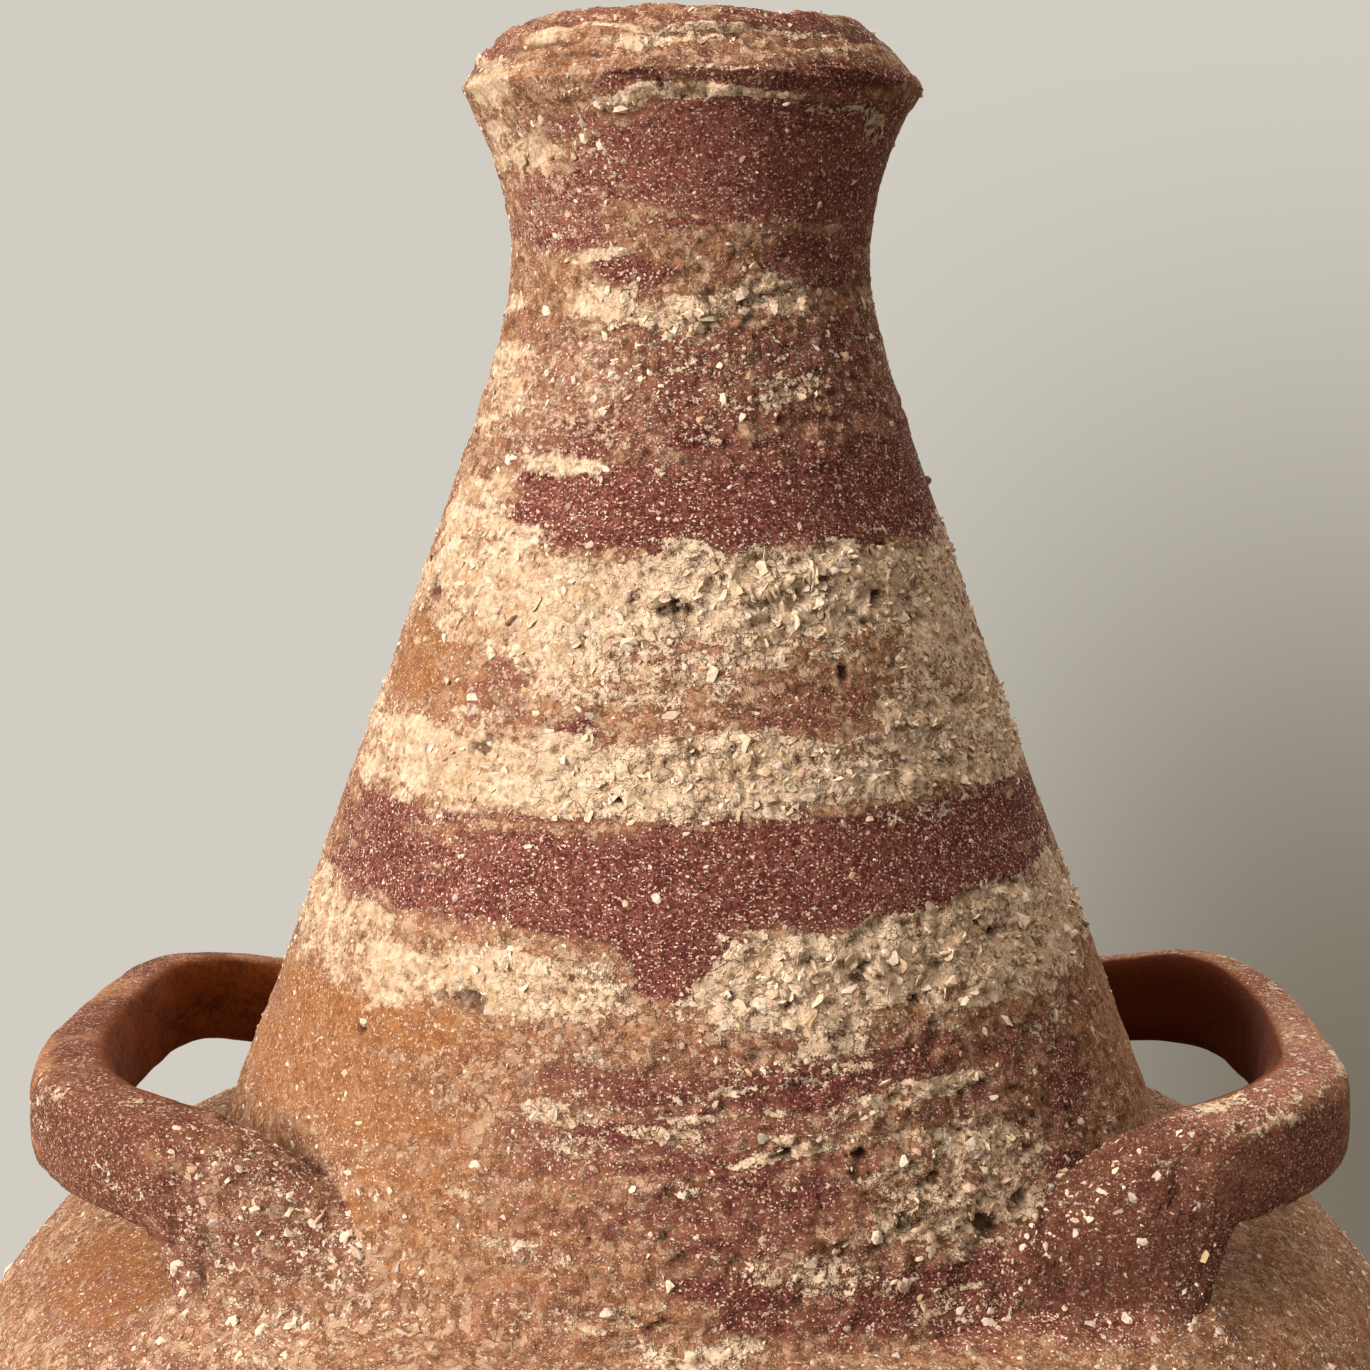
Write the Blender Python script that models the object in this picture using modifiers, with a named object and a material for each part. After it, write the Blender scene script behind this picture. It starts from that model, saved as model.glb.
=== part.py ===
# Two-handled stoneware vase, built as a potter builds it: a floor slab, two bowl halves,
# a conical neck and a bevelled lip are luted on tongue-and-groove seams, and each strap
# handle is luted between two clay root pads that lie along the foot of the neck.
# Metres, +Z up, origin at the centre of the foot, handles along X.

import math

import bmesh
import bpy
from mathutils import Vector

# Overall form
OVERALL_HEIGHT = 0.500
FOOT_RADIUS = 0.088
BELLY_RADIUS = 0.1536
BELLY_HEIGHT = 0.2135
SHOULDER_ROUND = 0.058
NECK_FOOT_RADIUS = 0.100

# Lower bowl: how far the belly runs straight down, and how steeply the wall meets the foot
BELLY_FALL = 0.105
FOOT_RISE = 0.050
FOOT_FLARE = 0.026

# Neck and lip
WAIST_RADIUS = 0.0352
WAIST_DROP = 0.0446
WAIST_EASE = 0.015
RIM_RADIUS = 0.0446
RIM_DROP = 0.0125
LIP_HEIGHT = 0.017
LIP_CREST_RADIUS = 0.0320
LIP_CREST_ROUND = 0.0040
LIP_EDGE_ROUND = 0.0032
MOUTH_RADIUS = 0.0270
MOUTH_CHAMFER = 0.004

# Walls
SLAB_THICKNESS = 0.012
BOWL_WALL = 0.009
NECK_WALL = 0.008

# Luted seams: the film of slip between pieces, and the tongue that keys them
SLIP_GAP = 0.0003
TONGUE_WIDTH = 0.0034
TONGUE_DEPTH = 0.0024

# Handles: a strap on edge runs level round the loop, leaning up a little towards the front
STRAP_HEIGHT = 0.0205
STRAP_THICKNESS = 0.012
STRAP_SQUARENESS = 3.2
STRAP_LIFT = 0.0200
STRAP_TILT = math.radians(2.9)
ROOT_STANDOFF = 0.0060
LOOP_REACH = 0.0210
ROOT_DROP = 0.0040
CORNER_START = math.radians(16)
CORNER_END = math.radians(50)
STRAP_END_ANGLE = math.radians(36)
BUTT_LEAD = 0.0030

# Root pads: each carries the strap's end, fills the crease of the neck and draws out to a tip
PAD_HEIGHT = 0.033
PAD_THICKNESS = 0.0145
PAD_TOP_RISE = 0.0005
PAD_INSET = 0.0030
PAD_TIP_ANGLE = math.radians(68)
PAD_TIP_RISE = 0.0045
PAD_SWELL = 0.36
PAD_TIP_SCALE = 0.45
PAD_LEAD_SHARE = 0.15

# Facets
TURN_STEPS = 48
BOWL_POINTS = 8
SHOULDER_POINTS = 8
FLARE_POINTS = 5
CONE_POINTS = 8
LIP_POINTS = 6
STRAP_POINTS = 25
PAD_POINTS = 12
SECTION_POINTS = 16
MERGE_DISTANCE = 0.00002

# Heights that the pieces share
BELLY_SEAM = BELLY_HEIGHT
LIP_SEAM = OVERALL_HEIGHT - LIP_HEIGHT
WAIST_HEIGHT = OVERALL_HEIGHT - WAIST_DROP
RIM_HEIGHT = OVERALL_HEIGHT - RIM_DROP
SHOULDER_CENTRE_RADIUS = BELLY_RADIUS - SHOULDER_ROUND

CLAYS = {
    "red_clay": ((0.23, 0.075, 0.055), 0.92),
    "ochre_clay": ((0.42, 0.20, 0.095), 0.93),
    "shell_clay": ((0.62, 0.47, 0.33), 0.95),
}


def clear_scene():
    for obj in list(bpy.data.objects):
        bpy.data.objects.remove(obj, do_unlink=True)


def new_collection(name):
    collection = bpy.data.collections.new(name)
    bpy.context.scene.collection.children.link(collection)
    return collection


def clay(name):
    if name in bpy.data.materials:
        return bpy.data.materials[name]
    colour, roughness = CLAYS[name]
    material = bpy.data.materials.new(name)
    material.use_nodes = True
    shader = material.node_tree.nodes["Principled BSDF"]
    shader.inputs["Base Color"].default_value = (*colour, 1.0)
    shader.inputs["Roughness"].default_value = roughness
    shader.inputs["Metallic"].default_value = 0.0
    return material


def spaced(start, end, count):
    return [start + (end - start) * i / (count - 1) for i in range(count)]


def smooth_step(share):
    share = min(max(share, 0.0), 1.0)
    return share * share * (3 - 2 * share)


def bezier(p0, p1, p2, p3, count):
    points = []
    for t in spaced(0.0, 1.0, count):
        weights = ((1 - t) ** 3, 3 * t * (1 - t) ** 2, 3 * t * t * (1 - t), t**3)
        points.append(tuple(sum(w * p[k] for w, p in zip(weights, (p0, p1, p2, p3))) for k in (0, 1)))
    return points


# Outer form of the vase, as radius against height

def bowl_curve(count):
    """Outer (radius, height) points of the lower bowl and slab, from the belly down to the foot."""
    return bezier(
        (BELLY_RADIUS, BELLY_HEIGHT),
        (BELLY_RADIUS, BELLY_HEIGHT - BELLY_FALL),
        (FOOT_RADIUS + FOOT_FLARE, FOOT_RISE),
        (FOOT_RADIUS, 0.0),
        count,
    )


def bowl_radius(height):
    """Radius of the bowl curve at a height, found between close points of the curve."""
    points = bowl_curve(200)
    for (r_high, z_high), (r_low, z_low) in zip(points, points[1:]):
        if z_low <= height <= z_high:
            return r_low + (r_high - r_low) * (height - z_low) / (z_high - z_low)
    return FOOT_RADIUS


def shoulder_height(radius, inset=0.0):
    """Height of the rounded shoulder over a radius, on the outside or inset through the wall."""
    reach = max(radius - SHOULDER_CENTRE_RADIUS, 0.0)
    return BELLY_HEIGHT + math.sqrt(max((SHOULDER_ROUND - inset) ** 2 - reach**2, 0.0))


NECK_SEAM = shoulder_height(NECK_FOOT_RADIUS)


def waist_ease(drop):
    return math.hypot(drop, WAIST_EASE) - WAIST_EASE


def neck_radius(height):
    """A cone that eases into the waist, and above the waist an arc that flares out to the rim."""
    drop = WAIST_HEIGHT - height
    if drop >= 0:
        share = waist_ease(drop) / waist_ease(WAIST_HEIGHT - NECK_SEAM)
        return WAIST_RADIUS + (NECK_FOOT_RADIUS - WAIST_RADIUS) * share
    rise, flare = RIM_HEIGHT - WAIST_HEIGHT, RIM_RADIUS - WAIST_RADIUS
    flare_arc = (rise**2 + flare**2) / (2 * flare)
    return WAIST_RADIUS + flare_arc - math.sqrt(flare_arc**2 - drop**2)


def neck_heights():
    """Heights from the lip seam down to the neck's foot, closest together at the waist."""
    flare = spaced(LIP_SEAM, WAIST_HEIGHT, FLARE_POINTS)
    cone = [WAIST_HEIGHT - (WAIST_HEIGHT - NECK_SEAM) * t**1.7 for t in spaced(0.0, 1.0, CONE_POINTS)]
    return flare + cone[1:]


# Seams: a groove in the lower piece's seat takes a tongue under the upper piece

def groove(outer, inner, height):
    """Seat of the lower piece, from its inner edge out, with the groove sunk in it."""
    middle, half = (outer + inner) / 2, TONGUE_WIDTH / 2
    return [
        (inner, height),
        (middle - half, height),
        (middle - half / 2, height - TONGUE_DEPTH),
        (middle + half / 2, height - TONGUE_DEPTH),
        (middle + half, height),
        (outer, height),
    ]


def tongue(outer, inner, height):
    """Underside of the upper piece, from its outer edge in, with the tongue that fills the groove."""
    middle, half = (outer + inner) / 2, TONGUE_WIDTH / 2 - SLIP_GAP
    seat = height + SLIP_GAP
    return [
        (outer, seat),
        (middle + half, seat),
        (middle + half / 2, seat - TONGUE_DEPTH),
        (middle - half / 2, seat - TONGUE_DEPTH),
        (middle - half, seat),
        (inner, seat),
    ]


# Solids

def add_object(name, data, collection, material=None):
    obj = bpy.data.objects.new(name, data)
    collection.objects.link(obj)
    if material:
        obj.data.materials.append(material)
    return obj


def turned(name, outline, collection, material=None, closed=True):
    """Turns an outline of (radius, height) points, listed down its outer side, about Z."""
    mesh = bpy.data.meshes.new(name)
    bm = bmesh.new()
    verts = [bm.verts.new((radius, 0.0, height)) for radius, height in outline]
    for a, b in zip(verts, verts[1:] + verts[:1] if closed else verts[1:]):
        bm.edges.new((a, b))
    bm.to_mesh(mesh)
    bm.free()
    obj = add_object(name, mesh, collection, material)
    screw = obj.modifiers.new("turn", "SCREW")
    screw.steps = screw.render_steps = TURN_STEPS
    screw.use_merge_vertices = True
    screw.merge_threshold = MERGE_DISTANCE
    screw.use_smooth_shade = True
    return obj


def make_guide(obj):
    obj.hide_render = True
    obj.display_type = "WIRE"
    return obj


def cut(obj, cutter):
    boolean = obj.modifiers.new(f"cut by {cutter.name}", "BOOLEAN")
    boolean.operation = "DIFFERENCE"
    boolean.solver = "EXACT"
    boolean.object = cutter


def base_slab(parts):
    outer = bowl_radius(SLAB_THICKNESS)
    seat = groove(outer, outer - BOWL_WALL, SLAB_THICKNESS)
    outline = [(0.0, SLAB_THICKNESS)] + seat + [(FOOT_RADIUS, 0.0), (0.0, 0.0)]
    return turned("base_slab", outline, parts, clay("ochre_clay"), closed=False)


def lower_bowl(parts):
    foot = bowl_radius(SLAB_THICKNESS)
    heights = spaced(BELLY_SEAM, SLAB_THICKNESS, BOWL_POINTS)[1:-1]
    outer = [(bowl_radius(z), z) for z in heights]
    inner = [(r - BOWL_WALL, z) for r, z in reversed(outer)]
    under = tongue(foot, foot - BOWL_WALL, SLAB_THICKNESS)
    seat = groove(BELLY_RADIUS, BELLY_RADIUS - BOWL_WALL, BELLY_SEAM)
    return turned("lower_bowl", outer + under + inner + seat, parts, clay("ochre_clay"))


def shoulder_arc(depth, clear_of):
    """The shoulder's round from the neck out to the belly, at a depth in its wall, clear of a radius."""
    bend = SHOULDER_ROUND - depth
    leans = spaced(0.0, math.pi / 2, SHOULDER_POINTS)
    arc = [(SHOULDER_CENTRE_RADIUS + bend * math.sin(t), BELLY_HEIGHT + bend * math.cos(t)) for t in leans]
    return [(radius, height) for radius, height in arc if radius > clear_of + SLIP_GAP]


def shoulder_dome(parts):
    opening = NECK_FOOT_RADIUS - NECK_WALL
    outer = shoulder_arc(0.0, NECK_FOOT_RADIUS)[:-1]
    inner = shoulder_arc(BOWL_WALL, opening)[-2::-1]
    ceiling = [(opening, shoulder_height(opening, BOWL_WALL))]
    under = tongue(BELLY_RADIUS, BELLY_RADIUS - BOWL_WALL, BELLY_SEAM)
    seat = groove(NECK_FOOT_RADIUS, opening, NECK_SEAM)
    return turned("shoulder_dome", outer + under + inner + ceiling + seat, parts, clay("ochre_clay"))


def neck_cone(parts):
    outer = [(neck_radius(z), z) for z in neck_heights()[1:-1]]
    inner = [(r - NECK_WALL, z) for r, z in reversed(outer)]
    top = neck_radius(LIP_SEAM)
    under = tongue(NECK_FOOT_RADIUS, NECK_FOOT_RADIUS - NECK_WALL, NECK_SEAM)
    seat = groove(top, top - NECK_WALL, LIP_SEAM)
    return turned("neck_cone", outer + under + inner + seat, parts, clay("shell_clay"))


def lip_ring(parts):
    seam = neck_radius(LIP_SEAM)
    bevel = bezier(
        (LIP_CREST_RADIUS, OVERALL_HEIGHT),
        (LIP_CREST_RADIUS + LIP_CREST_ROUND, OVERALL_HEIGHT),
        (RIM_RADIUS, RIM_HEIGHT + LIP_EDGE_ROUND),
        (RIM_RADIUS, RIM_HEIGHT),
        LIP_POINTS,
    )
    under = tongue(seam, seam - NECK_WALL, LIP_SEAM)
    inside = [
        (RIM_RADIUS - NECK_WALL, RIM_HEIGHT - RIM_DROP / 4),
        (MOUTH_RADIUS, OVERALL_HEIGHT - MOUTH_CHAMFER),
        (MOUTH_RADIUS + MOUTH_CHAMFER / 2, OVERALL_HEIGHT - MOUTH_CHAMFER / 4),
    ]
    return turned("lip_ring", bevel + under + inside, parts, clay("red_clay"))


def outside_cutter(guides):
    """The vase's outside from belly to lip, grown by the slip film, for trimming what is luted on it."""
    neck = [(neck_radius(z) + SLIP_GAP, z) for z in neck_heights()[:-1]]
    crease = [(NECK_FOOT_RADIUS + SLIP_GAP, NECK_SEAM + SLIP_GAP)]
    shoulder = shoulder_arc(-SLIP_GAP, NECK_FOOT_RADIUS)
    outline = [(0.0, LIP_SEAM)] + neck + crease + shoulder + [(0.0, BELLY_HEIGHT)]
    return make_guide(turned("outside_cutter", outline, guides, closed=False))


# Handles

def loop_turn(angle):
    """How far the loop has turned in to its roots, from 0 round the side to 1."""
    return smooth_step((abs(angle) - CORNER_START) / (CORNER_END - CORNER_START))


def loop_radius(angle):
    return NECK_FOOT_RADIUS + ROOT_STANDOFF + LOOP_REACH * (1 - loop_turn(angle))


def strap_point(angle, side):
    """Centre of the strap at an angle from the X axis, on the right (1) or left (-1)."""
    radius = loop_radius(angle)
    x, y = side * radius * math.cos(angle), radius * math.sin(angle)
    height = NECK_SEAM + STRAP_LIFT - ROOT_DROP * loop_turn(angle) - y * math.tan(STRAP_TILT)
    return Vector((x, y, height))


def butt_seam(end, side):
    """Where a strap meets its front (-1) or rear (1) pad: the point and the level way on into the pad."""
    angle = end * STRAP_END_ANGLE
    step = strap_point(angle + end * 0.01, side) - strap_point(angle - end * 0.01, side)
    return strap_point(angle, side), Vector((step.x, step.y, 0.0)).normalized()


def pad_point(share, end, side):
    """Centre and scale of a root pad's section, from the strap's end (0) to the pad's tip (1)."""
    angle = STRAP_END_ANGLE + (PAD_TIP_ANGLE - STRAP_END_ANGLE) * share
    radius = loop_radius(angle) - PAD_INSET * smooth_step(share)
    swell = PAD_SWELL * math.sin(math.pi * share) ** 2
    scale = 1.0 + swell - (1.0 - PAD_TIP_SCALE) * share**2
    seam, _ = butt_seam(end, side)
    top = seam.z + STRAP_HEIGHT / 2 + PAD_TOP_RISE
    top += (NECK_SEAM + PAD_TIP_RISE - top) * smooth_step(share)
    x, y = side * radius * math.cos(angle), end * radius * math.sin(angle)
    return Vector((x, y, top - scale * PAD_HEIGHT / 2)), scale


def rounded_section(name, thickness, height, guides):
    """A rounded rectangle on edge, as a closed guide curve."""
    curve = bpy.data.curves.new(name, "CURVE")
    curve.dimensions = "2D"
    spline = curve.splines.new("POLY")
    spline.points.add(SECTION_POINTS - 1)
    for i, point in enumerate(spline.points):
        turn = 2 * math.pi * (i + 0.5) / SECTION_POINTS
        across = math.copysign(abs(math.cos(turn)) ** (2 / STRAP_SQUARENESS), math.cos(turn))
        up = math.copysign(abs(math.sin(turn)) ** (2 / STRAP_SQUARENESS), math.sin(turn))
        point.co = (across * thickness / 2, up * height / 2, 0.0, 1.0)
    spline.use_cyclic_u = True
    return make_guide(add_object(name, curve, guides))


def swept(name, path, section, collection, material):
    """A section swept along a path of (centre, scale) pairs, as a mesh with welded caps."""
    curve = bpy.data.curves.new(name, "CURVE")
    curve.dimensions = "3D"
    curve.twist_mode = "Z_UP"
    curve.bevel_mode = "OBJECT"
    curve.bevel_object = section
    curve.use_fill_caps = True
    spline = curve.splines.new("POLY")
    spline.points.add(len(path) - 1)
    for point, (centre, scale) in zip(spline.points, path):
        point.co = (*centre, 1.0)
        point.radius = scale
    guide = add_object(f"{name}_path", curve, collection)
    graph = bpy.context.evaluated_depsgraph_get()
    mesh = bpy.data.meshes.new_from_object(guide.evaluated_get(graph))
    mesh.name = name
    bm = bmesh.new()
    bm.from_mesh(mesh)
    bmesh.ops.remove_doubles(bm, verts=bm.verts, dist=MERGE_DISTANCE)
    bmesh.ops.recalc_face_normals(bm, faces=bm.faces)
    bm.to_mesh(mesh)
    bm.free()
    mesh.shade_smooth()
    mesh.set_sharp_from_angle(angle=math.radians(40))
    mesh.materials.clear()
    obj = add_object(name, mesh, collection, material)
    obj.matrix_world = guide.matrix_world
    bpy.data.objects.remove(guide)
    return obj


def handle(name, side, strap_section, pad_section, outside, parts):
    """One strap between its front (-Y) and rear root pads, each trimmed to the outside it is luted on."""
    half_film = SLIP_GAP / 2
    ends = {end: butt_seam(end, side) for end in (-1, 1)}
    inner = STRAP_END_ANGLE - 2 * BUTT_LEAD / loop_radius(STRAP_END_ANGLE)
    middle = [strap_point(angle, side) for angle in spaced(-inner, inner, STRAP_POINTS)]
    # A short level lead at each butt end keeps the two faces of the seam parallel
    leads = {
        end: [seam - way * half_film, seam - way * (half_film + BUTT_LEAD)]
        for end, (seam, way) in ends.items()
    }
    strap = [(point, 1.0) for point in leads[-1] + middle + leads[1][::-1]]
    swept(f"{name}_handle_strap", strap, strap_section, parts, clay("red_clay"))
    for end, word in ((-1, "front"), (1, "rear")):
        seam, way = ends[end]
        first, scale = pad_point(0.0, end, side)
        level = Vector((seam.x, seam.y, first.z))
        pad = [(level + way * (half_film + lead), scale) for lead in (0.0, BUTT_LEAD)]
        pad += [pad_point(share, end, side) for share in spaced(PAD_LEAD_SHARE, 1.0, PAD_POINTS)]
        piece = swept(f"{name}_{word}_root", pad, pad_section, parts, clay("red_clay"))
        cut(piece, outside)


def main():
    clear_scene()
    parts = new_collection("stoneware_vase")
    guides = new_collection("cutters_and_guides")
    base_slab(parts)
    lower_bowl(parts)
    shoulder_dome(parts)
    neck_cone(parts)
    lip_ring(parts)
    outside = outside_cutter(guides)
    strap_section = rounded_section("strap_section", STRAP_THICKNESS, STRAP_HEIGHT, guides)
    pad_section = rounded_section("pad_section", PAD_THICKNESS, PAD_HEIGHT, guides)
    handle("left", -1, strap_section, pad_section, outside, parts)
    handle("right", 1, strap_section, pad_section, outside, parts)


main()
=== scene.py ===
import math

import bmesh
import bpy
import numpy as np
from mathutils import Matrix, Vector


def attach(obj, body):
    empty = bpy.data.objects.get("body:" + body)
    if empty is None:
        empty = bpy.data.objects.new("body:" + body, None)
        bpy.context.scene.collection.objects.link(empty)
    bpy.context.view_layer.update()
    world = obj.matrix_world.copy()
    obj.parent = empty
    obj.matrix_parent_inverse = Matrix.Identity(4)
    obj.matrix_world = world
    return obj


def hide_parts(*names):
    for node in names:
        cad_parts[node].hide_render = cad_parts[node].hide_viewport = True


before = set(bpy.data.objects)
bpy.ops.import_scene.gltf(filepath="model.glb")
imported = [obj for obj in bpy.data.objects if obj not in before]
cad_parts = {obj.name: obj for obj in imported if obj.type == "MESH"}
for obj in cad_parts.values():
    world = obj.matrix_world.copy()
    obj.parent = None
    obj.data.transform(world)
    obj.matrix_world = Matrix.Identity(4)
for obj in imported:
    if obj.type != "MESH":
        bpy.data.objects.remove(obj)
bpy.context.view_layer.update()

scene = bpy.context.scene
scene.view_settings.view_transform = "Standard"

# the form of the vase, metres, as the solids have it
form = dict(
    height=0.500, footRadius=0.088, bellyRadius=0.1536, bellyHeight=0.2135, shoulderRound=0.058,
    bellyFall=0.105, footRise=0.050, footFlare=0.026, neckFootRadius=0.100,
    waistRadius=0.0352, waistDrop=0.0446, waistEase=0.015,
    rimRadius=0.0446, rimDrop=0.0125, lipHeight=0.017, lipCrest=0.032, mouthRadius=0.027,
    slab=0.012, bowlWall=0.009, neckWall=0.008)
mm = 0.001
shoulderCentre = form["bellyRadius"] - form["shoulderRound"]
neckSeam = form["bellyHeight"] + math.sqrt(
    form["shoulderRound"] ** 2 - (form["neckFootRadius"] - shoulderCentre) ** 2)
lipSeam = form["height"] - form["lipHeight"]
waistZ = form["height"] - form["waistDrop"]
rimZ = form["height"] - form["rimDrop"]


def neckRadius(z):
    z = np.asarray(z, float)
    drop = waistZ - z
    ease = np.hypot(drop, form["waistEase"]) - form["waistEase"]
    full = math.hypot(waistZ - neckSeam, form["waistEase"]) - form["waistEase"]
    cone = form["waistRadius"] + (form["neckFootRadius"] - form["waistRadius"]) * ease / full
    rise, flare = rimZ - waistZ, form["rimRadius"] - form["waistRadius"]
    arc = (rise ** 2 + flare ** 2) / (2 * flare)
    bell = form["waistRadius"] + arc - np.sqrt(np.maximum(arc ** 2 - drop ** 2, 0))
    return np.where(drop >= 0, cone, bell)


def bezier(p0, p1, p2, p3, count):
    t = np.linspace(0, 1, count)[:, None]
    p0, p1, p2, p3 = (np.array(p, float) for p in (p0, p1, p2, p3))
    return (1 - t) ** 3 * p0 + 3 * t * (1 - t) ** 2 * p1 + 3 * t * t * (1 - t) * p2 + t ** 3 * p3


def bowlRadius(z):
    curve = bezier((form["footRadius"], 0), (form["footRadius"] + form["footFlare"], form["footRise"]),
                   (form["bellyRadius"], form["bellyHeight"] - form["bellyFall"]),
                   (form["bellyRadius"], form["bellyHeight"]), 300)
    return np.interp(z, curve[:, 1], curve[:, 0])


# repeatable noise on points, sizes in metres

def lattice(ix, iy, iz, seed):  # a fixed number from 0 to 1 for every cell
    h = (ix * 374761393 + iy * 668265263 + iz * 1440662683 + seed * 974711) & 0xFFFFFFFF
    h = ((h ^ (h >> 15)) * 2246822519) & 0xFFFFFFFF
    h = ((h ^ (h >> 13)) * 3266489917) & 0xFFFFFFFF
    return ((h ^ (h >> 16)) & 0xFFFFFF) / 16777215.0


def softNoise(p, size, seed=0):  # smooth, -1 to 1
    q = p / np.asarray(size, float)
    cell = np.floor(q).astype(np.int64)
    f = q - cell
    f = f * f * f * (f * (f * 6 - 15) + 10)
    total = 0.0
    for dx in (0, 1):
        wx = f[:, 0] if dx else 1 - f[:, 0]
        for dy in (0, 1):
            wy = f[:, 1] if dy else 1 - f[:, 1]
            for dz in (0, 1):
                wz = f[:, 2] if dz else 1 - f[:, 2]
                corner = lattice(cell[:, 0] + dx, cell[:, 1] + dy, cell[:, 2] + dz, seed)
                total = total + wx * wy * wz * corner
    return total * 2 - 1


def roughNoise(p, size, seed=0, octaves=3, gain=0.55):
    size = np.asarray(size, float)
    total, weight = 0.0, 1.0
    for k in range(octaves):
        total = total + weight * softNoise(p, size / 2.03 ** k, seed + 17 * k)
        weight *= gain
    return total


def grains(p, size, seed=0):
    # distance to the nearest grain (in sizes), its number and the way to it
    q = p / np.asarray(size, float)
    cell = np.floor(q).astype(np.int64)
    best = np.full(len(p), 9.0)
    number = np.zeros(len(p))
    away = np.zeros((len(p), 3))
    for dx in (-1, 0, 1):
        for dy in (-1, 0, 1):
            for dz in (-1, 0, 1):
                ix, iy, iz = cell[:, 0] + dx, cell[:, 1] + dy, cell[:, 2] + dz
                spots = [at + lattice(ix, iy, iz, seed + k) for k, at in enumerate((ix, iy, iz))]
                step = np.stack(spots, 1) - q
                d = (step * step).sum(1)
                closer = d < best
                best[closer] = d[closer]
                away[closer] = step[closer]
                number[closer] = lattice(ix, iy, iz, seed + 3)[closer]
    return np.sqrt(best), number, away


def facets(p, size, seed=0):  # broken stone: every grain a tilted face, -1 to 1
    number, away = grains(p, size, seed)[1:]
    tilt = np.stack([np.sin(number * 127.1 * k) for k in (1.0, 2.3, 3.7)], 1)
    face = (tilt * away).sum(1) * 0.8 + (number - 0.5) * 1.3
    return np.clip(face, -1, 1)


def ramp(x, low, high):
    t = np.clip((x - low) / (high - low), 0, 1)
    return t * t * (3 - 2 * t)


def within(x, start, full, ease, end):  # rises from start to full, falls from ease to end
    return ramp(x, start, full) * (1 - ramp(x, ease, end))


def frontAngle(p):  # degrees round from the front, to the right
    return np.degrees(np.arctan2(p[:, 0], -p[:, 1]))


def sideAngle(p):  # degrees round from the nearer handle, to the back
    return np.degrees(np.arctan2(p[:, 1], np.abs(p[:, 0])))


# the handles' loop, from root tip to root tip

# metres, and degrees from the side to the back; -1 is the left loop, 1 the right
handlePiece = dict(
    strapHeight=0.0205, strapThickness=0.012, frontSwell=0.0046, squareness=3.6, lift=0.020,
    tilt=math.radians(2.9), standoff=0.006, reach=0.021, cornerStart=16, cornerEnd=50, strapEnd=36,
    flatSide={-1: (3, 0.0032, 15), 1: (-2, 0.0034, 13)}, hump=(0.0018, 22, 9),
    rootDrop=0.004, rearDrop={-1: 0.0048, 1: 0.0030}, rootTip=61, rootThickness=0.0145,
    tipThickness=0.010, tipInset=0.0145, tipTop=0.2700, rootFoot=0.2615, lean=0.75,
    fillet=0.015, crease={-1: 0.0015, 1: 0.0060}, along=0.0009, around=92)


def loopSection(angle, side):
    # centre, thickness, height and lean of the loop's section at angles (degrees) from the side
    h = handlePiece
    size = np.abs(angle)
    turn = ramp(size, h["cornerStart"], h["cornerEnd"])
    share = np.clip((size - h["strapEnd"]) / (h["rootTip"] - h["strapEnd"]), 0, 1)
    at, cut, wide = (np.where(side < 0, *pair) for pair in zip(h["flatSide"][-1], h["flatSide"][1]))
    inward = h["frontSwell"] * ramp(-angle, -6, 20) * (1 - ramp(size, 34, 46))
    radius = form["neckFootRadius"] + h["standoff"] + h["reach"] * (1 - turn) - h["tipInset"] * share ** 1.3
    radius = radius - cut * np.exp(-((angle - at) / wide) ** 2) - inward / 2
    a = np.radians(angle)
    x, y = side * radius * np.cos(a), radius * np.sin(a)
    strapZ = neckSeam + h["lift"] - h["rootDrop"] * turn - y * math.tan(h["tilt"])
    humpHeight, humpAt, humpWide = h["hump"]
    sag = np.where(side < 0, h["rearDrop"][-1], h["rearDrop"][1]) * ramp(angle, 25, 44)
    strapZ = strapZ + humpHeight * np.exp(-((angle - humpAt) / humpWide) ** 2) - sag
    swell = ramp(size, h["strapEnd"] - 3, h["strapEnd"] + 4)
    topZ = strapZ + h["strapHeight"] / 2
    topZ = topZ + (h["tipTop"] - topZ) * share ** 1.4
    footZ = strapZ - h["strapHeight"] / 2
    footZ = footZ + (h["rootFoot"] - footZ) * swell
    thick = h["strapThickness"] + inward + (h["rootThickness"] - h["strapThickness"]) * ramp(size, 24, 46)
    thick = thick + (h["tipThickness"] - h["rootThickness"]) * share
    blunt = np.sqrt(1 - np.clip((share - 0.40) / 0.601, 0, 1) ** 2)
    lean = h["lean"] * ramp(size, h["strapEnd"] - 4, h["rootTip"])
    return np.stack([x, y, (topZ + footZ) / 2], 1), thick * blunt, (topZ - footZ) * blunt, lean


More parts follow.
